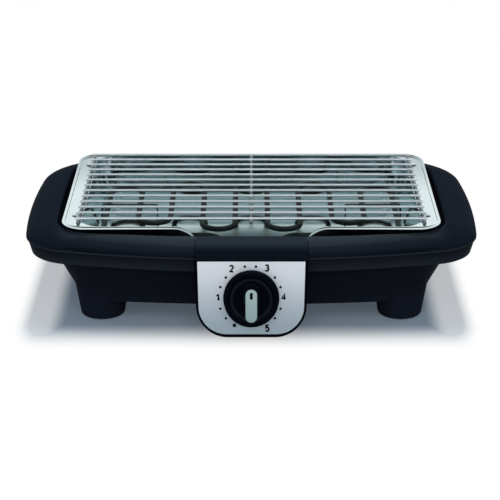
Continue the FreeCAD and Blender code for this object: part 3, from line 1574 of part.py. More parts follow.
def make_thermostat():
    face = f"({FASCIA_DEPTH} + bracket_sheet)"
    shaft = new_body("shaft")
    lower = body_sketch(shaft, "shaft_round", offset="-shaft_foot")
    add_circle(lower, "shaft_radius")
    pad(shaft, lower, "shaft_foot + shaft_round_top")
    upper = body_sketch(shaft, "shaft_flatted", offset="shaft_round_top")
    add_flatted_round(upper, "shaft_radius", "shaft_flat")
    pad(shaft, upper, "shaft_top - shaft_round_top")
    finish_on_fascia(shaft, "thermostat_shaft")

    body = new_body("thermostat")
    case = body_sketch(body, "thermostat_case", offset=f"-{face} - thermostat_depth")
    add_rectangle(case, "thermostat_half_width", "thermostat_half_height", "thermostat_corner")
    pad(body, case, "thermostat_depth")
    bush = body_sketch(body, "thermostat_bush", offset=f"-{face}")
    add_circle(bush, "bush_radius")
    pad(body, bush, f"{face} + bush_top")
    tabs = body_sketch(body, "thermostat_tabs", offset=f"-{face} - thermostat_depth - tab_length")
    for sign in (-1, 1):
        add_rectangle(tabs, "tab_half_width", "tab_sheet / 2", None, f"{sign} * tab_x", "tab_y")
    pad(body, tabs, "tab_length")
    bore = body_sketch(body, "thermostat_bore", offset="bush_top")
    add_circle(bore, "shaft_radius + shaft_fit")
    pocket(body, bore, "bush_top + shaft_foot + seat_gap")
    holes = body_sketch(body, "thermostat_holes", offset=f"-{face}")
    for sign in (-1, 1):
        add_circle(holes, SCREW_HOLE, "0", f"{sign} * thermostat_screw_y")
    pocket(body, holes, "thermostat_screw_length")
    finish_on_fascia(body, "thermostat_body")

    bracket = new_body("bracket")
    outline = body_sketch(bracket, "bracket_outline", offset=f"-{face}")
    add_rectangle(outline, "bracket_half_width", "bracket_half_height", "bracket_corner")
    add_circle(outline, "bush_radius + box_fit")
    for sign in (-1, 1):
        add_circle(outline, SCREW_HOLE, "0", f"{sign} * thermostat_screw_y")
    pad(bracket, outline, "bracket_sheet")
    finish_on_fascia(bracket, "thermostat_bracket")

    screws = []
    for end, sign in (("foot", -1), ("head", 1)):
        y = f"{sign} * thermostat_screw_y"
        shank = cylinder(f"dial_shank_{end}", "screw_radius", "thermostat_screw_length")
        place(shank, "0", y, "-thermostat_screw_length")
        head = cylinder(f"dial_head_{end}", "screw_head_radius", "flush_head", "0", y)
        screws.append(fuse(f"dial_screw_{end}", shank, head))
    finish_on_fascia(group("dial_screws", screws), "thermostat_screws")


def make_element_clamp():
    plate = box(
        "clamp_plate",
        ("-clamp_half_width", "clamp_half_width"),
        (f"-{BOX_INSIDE} - clamp_sheet", f"-{BOX_INSIDE}"),
        (f"{CLAMP_Z} - clamp_half_height", f"{CLAMP_Z} + clamp_half_height"),
    )
    bores = [
        end_rod(f"clamp_bore_{side}", sign, "tube_radius + box_fit", "0", "end_length")
        for side, sign in SIDES
    ]
    front = f"-{BOX_INSIDE} - clamp_sheet"
    head_y = f"{front} - screw_head_height"
    screws, holes = [], []
    for name, x, z in clamp_screw_places():
        holes.append(cylinder_back(f"clamp_hole_{name}", SCREW_HOLE, "clamp_screw_length", x, front, z))
        shank = cylinder_back(f"clamp_shank_{name}", "screw_radius", "clamp_screw_length", x, front, z)
        head = cylinder_back(f"clamp_head_{name}", "screw_head_radius", "screw_head_height", x, head_y, z)
        screws.append(fuse(f"clamp_screw_{name}", shank, head))
    finish(cut("clamp", plate, *bores, *holes), "element_clamp")
    finish(group("clamp_screw_group", screws), "clamp_screws")
    seals, pins = [], []
    for side, sign in SIDES:
        collar = end_rod(f"seal_{side}_collar", sign, "seal_radius", "end_length", "seal_length")
        bore_start = "end_length - seal_length"
        hole = end_rod(f"seal_{side}_hole", sign, "pin_radius + shaft_fit", bore_start, "3 * seal_length")
        seals.append(cut(f"seal_{side}", collar, hole))
        pins.append(end_rod(f"pin_{side}", sign, "pin_radius", "end_length", "pin_length"))
    finish(group("seal_group", seals), "element_seals")
    finish(group("pin_group", pins), "element_pins")


def make_terminals():
    body = new_body("block")
    outline = body_sketch(body, "block_outline", "XZ_Plane", BOX_INSIDE)
    add_profile(
        outline,
        [
            ("-block_half_width", "block_foot_z", None),
            ("block_half_width", "block_foot_z", None),
            ("block_half_width", "block_top_z", None),
            ("-block_half_width", "block_top_z", None),
        ],
    )
    pad(body, outline, "block_depth")
    wells = body_sketch(body, "block_wells", "XZ_Plane", f"{BOX_INSIDE} + block_depth")
    for i in range(BLOCK_POLES):
        step = i - (BLOCK_POLES - 1) / 2
        x = f"{step} * block_pitch" if step else "0"
        add_circle(wells, "block_well_radius", x, "(block_foot_z + block_top_z) / 2")
    pocket(body, wells, "block_well_depth")
    finish(body, "terminal_block")
    gland = new_body("gland")
    section = body_sketch(gland, "gland_section", "XZ_Plane")
    wall_top = "(box_bottom_z + box_wall)"
    add_profile(
        section,
        [
            ("gland_bore", "box_bottom_z - gland_flange", None),
            ("gland_flange_radius", "box_bottom_z - gland_flange", None),
            ("gland_flange_radius", "box_bottom_z", None),
            ("gland_radius", "box_bottom_z", None),
            ("gland_radius", wall_top, None),
            ("gland_flange_radius", wall_top, None),
            ("gland_flange_radius", f"{wall_top} + gland_flange", None),
            ("gland_bore", f"{wall_top} + gland_flange", None),
        ],
    )
    revolve(gland, section)
    place(gland, x="gland_x")
    finish(gland, "cord_gland", "base_centre_y - gland_reach")


def make_leads():
    tilt = math.radians(value("fascia_tilt"))
    slope = math.radians(value("end_slope"))
    stub, bend, radius = value("lead_stub"), value("lead_bend"), value("lead_radius")
    inward = Vector(0, math.cos(tilt), -math.sin(tilt))
    upward = Vector(0, math.sin(tilt), math.cos(tilt))
    along = Vector(0, -math.cos(slope), -math.sin(slope))
    dial = Vector(0, value(f"-{DIAL_REACH}"), value(DIAL_Z))
    tab_depth = value(f"{FASCIA_DEPTH} + bracket_sheet + thermostat_depth + tab_length")
    well_y = value(f"-{BOX_INSIDE} - block_depth + block_well_depth - seat_gap")
    mouth_y = value(f"-{BOX_INSIDE} - block_depth") - stub
    well_z = value("(block_foot_z + block_top_z) / 2")

    def from_pin(sign):
        tip = end_point(sign, "end_length + pin_length")
        return [(tip, 0), (tip + along * stub, bend)]

    def from_tab(sign):
        tip = dial + Vector(sign * value("tab_x"), 0, 0) + upward * value("tab_y") + inward * tab_depth
        return [(tip, 0), (tip + inward * stub, bend)]

    def from_well(sign):
        x = sign * value("block_pitch")
        return [(Vector(x, well_y, well_z), 0), (Vector(x, mouth_y, well_z), bend)]

    runs = [(from_pin(-1), from_tab(-1)), (from_pin(1), from_well(1)), (from_tab(1), from_well(-1))]
    leads = doc.addObject("Part::Feature", "leads")
    leads.Shape = Part.Compound([round_tube(start + end[::-1], radius) for start, end in runs])
    finish(leads, "inner_leads")


make_base_tub()
make_rim_frame()
make_foot_pads()
make_rim_screws()
make_reflector_tray()
make_grid()
make_heating_element()
make_box_cover()
make_box_back()
make_fascia()
make_knob()
make_thermostat()
make_element_clamp()
make_terminals()
make_leads()
doc.recompute()

for item in doc.Objects:
    if "Invalid" in item.State or "Error" in item.State:
        raise ValueError(f"{item.Name} failed: {item.State}")
for piece in pieces:
    if piece.Shape.isNull() or not piece.Shape.isValid():
        raise ValueError(f"{piece.Label} has no valid shape")
os.makedirs("parts", exist_ok=True)
for piece in pieces:
    piece.Shape.exportStep(f"parts/{piece.Label}.step")
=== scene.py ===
import json
import math

import bmesh
import bpy
from bpy.props import FloatProperty, FloatVectorProperty, PointerProperty
from mathutils import Matrix, Vector


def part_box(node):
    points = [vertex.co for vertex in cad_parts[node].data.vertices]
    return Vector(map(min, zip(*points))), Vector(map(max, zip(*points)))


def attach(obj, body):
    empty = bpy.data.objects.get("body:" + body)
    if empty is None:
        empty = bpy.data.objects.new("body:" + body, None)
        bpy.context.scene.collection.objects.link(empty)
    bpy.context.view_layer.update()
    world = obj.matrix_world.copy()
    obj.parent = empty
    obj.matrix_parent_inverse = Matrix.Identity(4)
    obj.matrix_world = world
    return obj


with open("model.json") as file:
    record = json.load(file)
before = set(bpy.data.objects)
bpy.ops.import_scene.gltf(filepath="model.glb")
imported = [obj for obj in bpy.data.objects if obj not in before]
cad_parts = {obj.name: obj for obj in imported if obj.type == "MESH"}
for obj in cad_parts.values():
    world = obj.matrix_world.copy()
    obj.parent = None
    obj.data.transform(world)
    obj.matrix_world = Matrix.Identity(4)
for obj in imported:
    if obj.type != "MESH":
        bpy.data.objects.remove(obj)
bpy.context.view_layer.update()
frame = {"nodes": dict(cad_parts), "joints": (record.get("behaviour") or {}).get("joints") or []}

bl_info = {
    "name": "Electric Table Grill",
    "version": (1, 0, 0),
    "blender": (4, 5, 0),
    "location": "View3D > Sidebar > Table Grill",
    "description": "Finishes, dial print and studio for an electric table grill",
    "category": "Object",
}

# The dial's centre and its axes on the leaning fascia: across, up along the fascia, and out of it
KNOB_HINGE = next(joint for joint in frame["joints"] if joint["name"] == "knob_turn")
DIAL_CENTRE = Vector(KNOB_HINGE["pos_m"])
DIAL_OUT = Vector(KNOB_HINGE["axis"])
DIAL_ACROSS = Vector((1, 0, 0))
DIAL_UP = DIAL_OUT.cross(DIAL_ACROSS)
DIAL_MATRIX = Matrix((DIAL_ACROSS, DIAL_UP, DIAL_OUT)).transposed().to_4x4()
DIAL_MATRIX.translation = DIAL_CENTRE

# Where the dial's numbers stand, across and up from its centre, and clockwise angles of its dots
NUMBER_PLACES = {
    "1": (-0.0368, 0.0005),
    "2": (-0.0214, 0.0336),
    "3": (0.0187, 0.0342),
    "4": (0.0378, 0.0014),
    "5": (0.0191, -0.0347),
}
DOT_ANGLES = (-130, -110, -70, -50, -10, 10, 50, 70, 110, 130)
OFF_ANGLE = -150

# Sharpest bend at which a number's stroke keeps its width, as the cosine of half the bend
STROKE_BEND = 0.7

# Heights in metres at which the painted light and shade on the base's walls change, from the feet up to
# the rim
FOOT_TOP = 0.025
TUB_FOOT = 0.045
TUB_TOP = 0.0784
BAND_FOOT = 0.08
BAND_MIDDLE = 0.09
BAND_TOP = 0.0949
RIDGE_FOOT = 0.0961
RIDGE_TOP = 0.0982
RIM_FOOT = 0.0997
WALL_TOP = 0.1

# Painted shade: how the band darkens at its middle and its top, under the rim
BAND_SHADE = (0.6, 0.5)

# How far a face turns up, 0 on a wall and 1 on a floor, where a wall's painted tone goes over into the
# rest, and at each painted shade or highlight of the rim's front, the rim's sides and the control box
WALL_TURN = (0.15, 0.4)
RIM_TURNS = (0.45, 0.88, 1.0)
SIDE_TURNS = (0.2, 0.9)
BOX_TURNS = (0.9, 0.95, 1.0)

# How far from the middle the rim turns from its front to its sides, which are darker with painted shade
SIDE_REACH = (0.19, 0.235)

# Where the dip at the tray's front, darker with painted shade and rougher, fades out, front to back and
# to either side
DIP_FRONT = (-0.02, 0.04)
DIP_SIDES = (0.03, 0.13)

# Where painted shade deepens the tray's rim in tone, front to back
RIM_FADE = (0.0, 0.13)

# Painted highlights on the knob's round edges, round its grip and its face: where each starts, is palest
# and ends, in shares of the knob's radius
KNOB_HIGHLIGHTS = ((0.22, 0.27, 0.32), (0.7, 0.79, 0.88))

# Parts of a noise's range that roughness and colours make use of
ROUGH_SPAN = (0.3, 0.7)
MOTTLE_SPAN = (0.35, 0.65)

# Faces that meet at less than this stay smooth
SMOOTH_ANGLE = math.radians(28)

# A spot weld is a bead that is spread out and flattened
WELD_FORM = Matrix.Diagonal((1.25, 1.25, 0.45, 1))

GRID_BARS = ("grid_bar_left", "grid_bar_centre", "grid_bar_right")
GRID_WIRES = tuple(sorted(name for name in frame["nodes"] if name.startswith("grid_wire")))
FOOT_PADS = tuple(sorted(name for name in frame["nodes"] if name.startswith("foot_pad")))

# The floor, and the grill's shadow on it: its middle, half its width and depth, how much a distance
# beyond those counts across and along, and the distances between which it fades
FLOOR_REACH = 12
FLOOR_PANES = 8
SHADOW_MIDDLE = (-0.006, 0.0245, 0)
SHADOW_HALF = (0.24, 0.134, 0)
SHADOW_STRETCH = (0.72, 0.31, 0)
SHADOW_FADE = (0.0, 0.0253)

# Where the shadow's ends, to the left and right, are lifted towards white, and how far
LIFT_REACH = (0.212, 0.236)
SHADOW_LIFT = 0.42

# Strengths of the white floor and the world as lights, and a ceiling that is dim in reflections,
# with the upward parts of a direction between which it dims
FLOOR_STRENGTH = 0.25
AMBIENT_STRENGTH = 0.42
CEILING_SPAN = (0.5, 0.92)
CEILING_STRENGTH = 0.08

# Square softboxes: place, aim, width in metres and power in watts
SOFTBOXES = {
    "top_softbox": ((0.0, 0.15, 1.8), (0.0, 0.15, 0.0), 0.8, 22),
    "front_softbox": ((0.0, -1.9, 1.6), (0.0, -0.4, 0.26), 1.2, 10.5),
}

# The camera, with its lens and sensor in millimetres
CAMERA_PLACE = (0, -2.01413, 0.82305)
CAMERA_TILT = math.radians(69)
CAMERA_LENS = 126.5
CAMERA_SENSOR = 36
CAMERA_SHIFT = -0.0026


def colour(label, text, value):
    """A colour that a user may change."""
    return FloatVectorProperty(
        name=label, description=text, default=value, subtype="COLOR", min=0, max=1, size=3
    )


def length(label, text, value):
    """A length that a user may change, in metres."""
    return FloatProperty(name=label, description=text, default=value, unit="LENGTH", precision=5)


class GrillFinishes(bpy.types.PropertyGroup):
    """Colours of the grill's finishes, of the light and shade painted on them, and of the studio."""

    plastic: colour("Base", "The tub's walls and the rim's edge", (0.0105, 0.013, 0.0205))
    # Painted light and shade on the base: lit feet, a band lit at its foot, a highlight on the ridge
    plastic_foot_lit: colour("Base, feet", "The feet", (0.0135, 0.0165, 0.0255))
    plastic_band_lit: colour("Base, band", "Foot of the band under the rim", (0.028, 0.0355, 0.048))
    plastic_ridge_highlight: colour("Base, ridge", "The rim's outer ridge", (0.03, 0.039, 0.052))
    # Painted shade, half light and highlight on the rim by how far a face turns up, and shaded side rims
    plastic_slope_shaded: colour("Base, slope", "The rim's steep outer slope", (0.0048, 0.0074, 0.0115))
    plastic_half_lit: colour("Base, shoulders", "Mouldings where they lean", (0.0105, 0.0148, 0.0212))
    plastic_top_highlight: colour("Base, upper faces", "The base where it faces up", (0.044, 0.055, 0.066))
    plastic_side_shaded: colour("Base, side rims", "The rim on the left and right", (0.006, 0.0098, 0.0168))
    foot_rubber: colour("Foot pads", "Rubber under the feet", (0.012, 0.012, 0.013))
    screw: colour("Screws", "All screws", (0.55, 0.56, 0.58))
    tray: colour("Tray, rim", "Reflector tray at its flange", (0.67, 0.79, 0.80))
    # Painted shade on the tray: darker at its back flange, its floor and its dip
    tray_back_shaded: colour("Tray, back", "Reflector tray at its back flange", (0.41, 0.505, 0.525))
    tray_floor_shaded: colour("Tray, floor", "Reflector tray at its floor", (0.42, 0.545, 0.555))
    tray_dip_shaded: colour("Tray, dip", "Reflector tray at its dip", (0.13, 0.215, 0.225))
    wire: colour("Wires", "Plating of the grid's wires, pegs and welds", (0.85, 0.95, 1.0))
    # Painted shade: the bars under the wires are plated like them, but darker
    bar: colour("Bars", "Plating of the bars under the wires", (0.2, 0.225, 0.235))
    sheath: colour("Element", "Sheath of the heating element", (0.0135, 0.019, 0.0175))
    strap: colour("Straps", "Straps under the element", (0.009, 0.0105, 0.0105))
    # Painted shade below the control box's crown, and a painted highlight where it faces up
    box_slope_shaded: colour("Box", "The control box below its crown", (0.0024, 0.003, 0.006))
    box_top_highlight: colour("Box, upper faces", "The control box where it faces up", (0.021, 0.029, 0.0375))
    # Painted shade: the silver film darkens from its top down to its foot
    fascia_top: colour("Fascia, upper end", "Satin silver film at the top", (0.80, 0.845, 0.9))
    fascia_foot_shaded: colour("Fascia, lower end", "Satin silver film at the foot", (0.35, 0.44, 0.5))
    print_ink: colour("Print", "Numbers, dots and the knob's mark", (0.002, 0.002, 0.003))
    knob: colour("Knob", "Control knob", (0.0042, 0.0052, 0.0096))
    # Painted highlight rings on the knob's round edges
    knob_edge_highlight: colour("Knob, edges", "The knob's rubbed edges", (0.019, 0.027, 0.037))
    # Painted shade: the insert darkens from its top down to its foot
    insert_top: colour("Insert, upper end", "Satin silver insert in the knob", (0.42, 0.54, 0.55))
    insert_foot_shaded: colour("Insert, lower end", "The insert towards its foot", (0.31, 0.42, 0.44))
    shaft: colour("Shaft", "Shaft under the knob", (0.5, 0.5, 0.5))
    thermostat: colour("Thermostat", "Moulded case of the thermostat", (0.05, 0.028, 0.018))
    bracket: colour("Bracket", "Thermostat's bracket and element's clamp", (0.5, 0.51, 0.52))
    seal: colour("Seals", "Ceramic seals at the element's ends", (0.75, 0.73, 0.68))
    pin: colour("Pins", "Brass pins at the element's ends", (0.72, 0.52, 0.2))
    terminal: colour("Terminals", "Terminal block", (0.62, 0.6, 0.55))
    sleeve: colour("Sleeves", "Woven sleeves of the inner leads", (0.55, 0.5, 0.42))
    sleeve_thread: colour("Sleeves, thread", "Darker thread of the sleeves", (0.4, 0.35, 0.28))
    gland: colour("Gland", "Rubber gland for the cord", (0.01, 0.01, 0.011))
    floor: colour("Floor", "Studio floor as it lights the grill", (0.93, 0.935, 0.96))
    # Painted shadow: the camera sees a darker floor, and a painted fill lifts its deepest shadow
    floor_shade: colour("Floor, shaded", "Studio floor as seen near the grill", (0.31, 0.374, 0.437))
    floor_glow: colour("Floor, fill", "What the floor's deepest shadow shows", (0.061, 0.076, 0.093))
    ambient: colour("Ambient light", "Light from all round", (0.66, 0.83, 1.0))
    lamp: colour("Softboxes", "Light of the softboxes", (1.0, 0.965, 0.93))


class GrillPrint(bpy.types.PropertyGroup):
    """Sizes of the dial's print, the knob's shading and the grid's welds."""

    number_height: length("Number height", "Height of the dial's numbers", 0.0087)
    number_width: length("Number width", "Width of the dial's numbers", 0.0057)
    number_stroke: length("Number stroke", "Width of the numbers' strokes", 0.0020)
    print_shift: length("Print shift", "How far the print stands to the right of the knob", -0.001)
    dot_radius: length("Dot radius", "Radius of the small dots", 0.0015)
    off_dot_radius: length("Off dot radius", "Radius of the off mark", 0.0022)
    dot_ring: length("Dot ring", "From the dial's centre to the dots", 0.0363)
    pointer_width: length("Pointer width", "Width of the mark on the knob", 0.0034)
    pointer_foot: length("Pointer foot", "From the dial's centre up to the mark", 0.0013)
    pointer_length: length("Pointer length", "Length of the mark on the knob", 0.0074)
    ink_height: length("Ink height", "How far print stands proud", 0.00006)
    knob_reach: length("Knob reach", "Radius of the knob's face", 0.0285)
    weld_radius: length("Weld radius", "Size of the spot welds on the grid", 0.0013)


# Materials


class Wiring:
    """The nodes of a material or of the world, and their links."""

    def __init__(self, tree):
        self.tree = tree

    def find(self, kind):
        """The node of a kind that is there from the start."""
        return next(node for node in self.tree.nodes if node.type == kind)

    def add(self, kind, **settings):
        """A new node with some of its settings."""
        node = self.tree.nodes.new(kind)
        for name, value in settings.items():
            setattr(node, name, value)
        return node

    def join(self, start, end):
        """Link an output to an input."""
        self.tree.links.new(start, end)

    def part(self, vector, axis):
        """One part of a vector."""
        node = self.add("ShaderNodeSeparateXYZ")
        self.join(vector, node.inputs["Vector"])
        return node.outputs[axis]

    def reckon(self, operation, *sources):
        """Numbers put together by an operation."""
        node = self.add("ShaderNodeMath", operation=operation)
        for socket, source in zip(node.inputs, sources):
            self.join(source, socket)
        return node.outputs["Value"]

    def ranged(self, source, span, low=0.0, high=1.0, kind="SMOOTHSTEP"):
        """A span of a source, spread between two values."""
        node = self.add("ShaderNodeMapRange", interpolation_type=kind)
        self.join(source, node.inputs["Value"])
        for name, value in zip(("From Min", "From Max", "To Min", "To Max"), (*span, low, high)):
            node.inputs[name].default_value = value
        return node.outputs["Result"]

    def show(self, share, first, second, output):
        """Show one shader that goes over into another."""
        node = self.add("ShaderNodeMixShader")
        self.join(share, node.inputs["Fac"])
        self.join(first, node.inputs[1])
        self.join(second, node.inputs[2])
        self.join(node.outputs["Shader"], self.find(output).inputs["Surface"])


class Finish(Wiring):
    """A Principled material under construction."""

    def __init__(self, name, base, **sockets):
        self.material = bpy.data.materials.new(name)
        self.material.use_nodes = True
        super().__init__(self.material.node_tree)
        self.shader = self.find("BSDF_PRINCIPLED")
        self.shader.inputs["Base Color"].default_value = (*base, 1)
        self.material.diffuse_color = (*base, 1)
        for socket, value in sockets.items():
            self.shader.inputs[socket.replace("_", " ")].default_value = value
        self.place = self.add("ShaderNodeTexCoord").outputs["Object"]

    def along(self, axis):
        """The place along one of the grill's axes."""
        return self.part(self.place, axis)

    def away(self, axis):
        """Distance from the grill's middle plane along an axis."""
        return self.reckon("ABSOLUTE", self.along(axis))

    def chain(self, source, *steps):
        """A vector taken through steps, each an operation and its second vector."""
        for operation, value in steps:
            node = self.add("ShaderNodeVectorMath", operation=operation)
            self.join(source, node.inputs[0])
            if value is not None:
                node.inputs[1].default_value = value
            source = node.outputs["Value" if operation == "LENGTH" else "Vector"]
        return source

    def off_axis(self, centre, axis):
        """Distance from an axis through a point."""
        return self.chain(self.place, ("SUBTRACT", centre), ("CROSS_PRODUCT", axis), ("LENGTH", None))

    def facing_up(self):
        """How far the surface faces up, from 0 on a wall to 1 on a floor."""
        return self.part(self.add("ShaderNodeNewGeometry").outputs["Normal"], "Z")

    def in_dip(self):
        """One inside the dip at the tray's front, nought elsewhere."""
        front = self.ranged(self.along("Y"), DIP_FRONT, 1.0, 0.0)
        middle = self.ranged(self.away("X"), DIP_SIDES, 1.0, 0.0)
        return self.reckon("MULTIPLY", front, middle)

    def noise(self, scale, detail, stretch):
        """Cloudy noise in the object's own space, drawn out along an axis where asked."""
        mapping = self.add("ShaderNodeMapping")
        mapping.inputs["Scale"].default_value = stretch
        self.join(self.place, mapping.inputs["Vector"])
        node = self.add("ShaderNodeTexNoise")
        node.inputs["Scale"].default_value = scale
        node.inputs["Detail"].default_value = detail
        self.join(mapping.outputs["Vector"], node.inputs["Vector"])
        return node.outputs["Fac"]

    def ramp(self, source, stops):
        """Colours along a source, each a place on it and a tone."""
        node = self.add("ShaderNodeValToRGB")
        elements = node.color_ramp.elements
        while len(elements) < len(stops):
            elements.new(0.5)
        for element, (position, tone) in zip(elements, stops):
            element.position = position
            element.color = (*tone, 1)
        self.join(source, node.inputs["Fac"])
        return node.outputs["Color"]

    def blend(self, share, first, second):
        """One colour that goes over into another, each a socket or a plain colour."""
        node = self.add("ShaderNodeMix", data_type="RGBA")
        self.join(share, node.inputs["Factor"])
        for socket, source in zip(node.inputs[6:8], (first, second)):
            if isinstance(source, bpy.types.NodeSocket):
                self.join(source, socket)
            else:
                socket.default_value = (*source, 1)
        return node.outputs[2]

    def paint(self, output):
        """Set the base colour from an output."""
        self.join(output, self.shader.inputs["Base Color"])

    def mottle(self, first, second, scale, detail=4.0):
        """Let the colour drift between two shades."""
        stops = tuple(zip(MOTTLE_SPAN, (first, second)))
        self.paint(self.ramp(self.noise(scale, detail, (1, 1, 1)), stops))

    def roughen(self, rough, scale, detail=3.0, stretch=(1, 1, 1)):
        """Let the roughness vary between two values."""
        output = self.ranged(self.noise(scale, detail, stretch), ROUGH_SPAN, *rough)
        self.join(output, self.shader.inputs["Roughness"])

    def dull(self, share, extra):
        """Add roughness where a share asks for it."""
        socket = self.shader.inputs["Roughness"]
        added = self.ranged(share, (0.0, 1.0), high=extra)
        self.join(self.reckon("ADD", socket.links[0].from_socket, added), socket)

    def grain(self, scale, height, strength, detail=2.0, stretch=(1, 1, 1)):
        """Raise a fine grain of a height in metres."""
        bump = self.add("ShaderNodeBump")
        bump.inputs["Strength"].default_value = strength
        bump.inputs["Distance"].default_value = height
        self.join(self.noise(scale, detail, stretch), bump.inputs["Height"])
        self.join(bump.outputs["Normal"], self.shader.inputs["Normal"])


def shade(base, factor):
    """A colour made darker or lighter."""
    return tuple(min(1.0, channel * factor) for channel in base)


def moulded_plastic(name, shades, rough, sides=None, walls=None):
    """Dark satin moulding with a fine spark grain, painted light and shade by how far it faces up, its
    walls by height.
    """
    made = Finish(name, shades[0][1], Specular_IOR_Level=0.004)
    facing = made.facing_up()
    painted = made.ramp(facing, shades)
    # Painted shade on the rim's sides, towards the grill's ends
    if sides:
        beside = made.ranged(made.away("X"), SIDE_REACH)
        painted = made.blend(beside, painted, made.ramp(facing, sides))
    # Painted light and shade on the walls by height
    if walls:
        height = made.ranged(made.along("Z"), (0.0, WALL_TOP), kind="LINEAR")
        upright = made.ramp(height, [(place / WALL_TOP, tone) for place, tone in walls])
        painted = made.blend(made.ranged(facing, WALL_TURN), upright, painted)
    made.paint(painted)
    made.roughen(rough, scale=700, detail=2)
    made.grain(scale=2600, height=0.00002, strength=0.25)
    return made.material


def turned_plastic(name, rings, reach):
    """Dark satin plastic with painted highlights in rings about the dial's axis, on its round edges."""
    made = Finish(name, rings[0][1], Specular_IOR_Level=0.0)
    radius = made.ranged(made.off_axis(DIAL_CENTRE, DIAL_OUT), (0.0, reach), kind="LINEAR")
    made.paint(made.ramp(radius, rings))
    made.roughen(rough=(0.24, 0.3), scale=400, detail=2)
    return made.material


def plain_plastic(name, base, rough, scale=220, spec=0.4):
    """Moulded plastic with a faint cloudiness."""
    made = Finish(name, base, Specular_IOR_Level=spec)
    made.mottle(shade(base, 0.85), shade(base, 1.15), scale)
    made.roughen(rough, scale)
    made.grain(scale=1800, height=0.00002, strength=0.3)
    return made.material


def printed_ink(name, base):
    """Dull ink."""
    return plain_plastic(name, base, rough=(0.5, 0.6), scale=600, spec=0.05)


def pressed_steel(name, looks, heights):
    """Polished sheet steel, faintly wavy from the press, rougher in its dip, and darker with painted
    shade towards its floor, its dip and its back.
    """
    made = Finish(name, looks.tray, Metallic=1.0)
    # Painted shade: darker to the back of the rim, down towards the floor and in the dip
    rim = made.blend(made.ranged(made.along("Y"), RIM_FADE), looks.tray, looks.tray_back_shaded)
    painted = made.blend(made.ranged(made.along("Z"), heights), looks.tray_floor_shaded, rim)
    dipped = made.in_dip()
    made.paint(made.blend(dipped, painted, made.blend(dipped, looks.tray_floor_shaded, looks.tray_dip_shaded)))
    made.roughen(rough=(0.06, 0.1), scale=90, detail=5, stretch=(1, 6, 1))
    made.dull(dipped, extra=0.4)
    made.grain(scale=22, height=0.0004, strength=0.05, detail=1.0)
    return made.material


def drawn_wire(name, base):
    """Bright plated wire with faint lengthwise streaks."""
    made = Finish(name, base, Metallic=0.7)
    made.mottle(shade(base, 0.9), base, scale=60)
    made.roughen(rough=(0.16, 0.24), scale=300, stretch=(0.1, 1, 1))
    return made.material


def heated_steel(name, base):
    """Dark steel, dulled and mottled by heat."""
    made = Finish(name, base, Specular_IOR_Level=0.06)
    made.mottle(shade(base, 0.7), shade(base, 1.6), scale=45, detail=6)
    made.roughen(rough=(0.42, 0.56), scale=160, detail=4)
    made.grain(scale=900, height=0.00003, strength=0.4)
    return made.material


def satin_film(name, top, foot, heights):
    """Satin silver film with a fine crosswise grain, darker with painted shade towards its foot."""
    made = Finish(name, top, Metallic=0.55, Specular_IOR_Level=0.4)
    made.paint(made.blend(made.ranged(made.along("Z"), heights), foot, top))
    made.roughen(rough=(0.36, 0.46), scale=700, stretch=(0.05, 1, 1))
    made.grain(scale=1400, height=0.00001, strength=0.25, stretch=(0.04, 1, 1))
    return made.material


def rubber(name, base):
    """Dull rubber with a pitted skin."""
    made = Finish(name, base, Specular_IOR_Level=0.3)
    made.mottle(shade(base, 0.8), shade(base, 1.3), scale=400)
    made.roughen(rough=(0.62, 0.8), scale=500)
    made.grain(scale=2200, height=0.00005, strength=0.6)
    return made.material


def plated_metal(name, base):
    """Plated or plain metal with a cloudy finish."""
    made = Finish(name, base, Metallic=1.0)
    made.mottle(shade(base, 0.82), shade(base, 1.08), scale=250)
    made.roughen(rough=(0.25, 0.4), scale=500)
    made.grain(scale=1500, height=0.00001, strength=0.3)
    return made.material


def braided_sleeve(name, base, thread):
    """Woven glass sleeving on the inner wires."""
    made = Finish(name, base, Specular_IOR_Level=0.3)
    made.mottle(base, thread, scale=1500, detail=1.0)
    made.roughen(rough=(0.6, 0.75), scale=900)
    made.grain(scale=1600, height=0.0001, strength=0.7, detail=1.0)
    return made.material


def dress(material, *names):
    """Give CAD nodes one material and smooth their rounded faces."""
    for name in names:
        mesh = frame["nodes"][name].data
        mesh.materials.clear()
        mesh.materials.append(material)
        mesh.shade_smooth()
        mesh.set_sharp_from_angle(angle=SMOOTH_ANGLE)


def heights_of(name):
    """The heights between which a CAD node stands."""
    low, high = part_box(name)
    return low.z, high.z


# Added pieces


def new_piece(name, mesh, material, body):
    """An added piece that moves with a body of the grill."""
    mesh.materials.append(material)
    piece = bpy.data.objects.new(name, mesh)
    bpy.context.scene.collection.objects.link(piece)
    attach(piece, body)


def mesh_from(name, sketch):
    """A mesh from a bmesh, which is freed."""
    mesh = bpy.data.meshes.new(name)
    bmesh.ops.recalc_face_normals(sketch, faces=sketch.faces)
    sketch.to_mesh(mesh)
    sketch.free()
    return mesh


def raise_outline(sketch, points, height):
    """A thin raised patch with an outline, drawn on the fascia's axes."""
    top = [sketch.verts.new((x, y, height)) for x, y in points]
    foot = [sketch.verts.new((x, y, 0)) for x, y in points]
    sketch.faces.new(top)
    for i in range(len(points)):
        after = (i + 1) % len(points)
        sketch.faces.new((foot[i], foot[after], top[after], top[i]))


def on_ring(angle, radius):
    """A place on the dial at a clockwise angle from its top."""
    turn = math.radians(angle)
    return radius * math.sin(turn), radius * math.cos(turn)


def raise_dot(sketch, angle, ring, radius, height, steps=24):
    """A thin raised dot on the dial's ring, at a clockwise angle from its top."""
    x, y = on_ring(angle, ring)
    turns = (2 * math.pi * i / steps for i in range(steps))
    points = [(x + radius * math.cos(turn), y + radius * math.sin(turn)) for turn in turns]
    raise_outline(sketch, points, height)


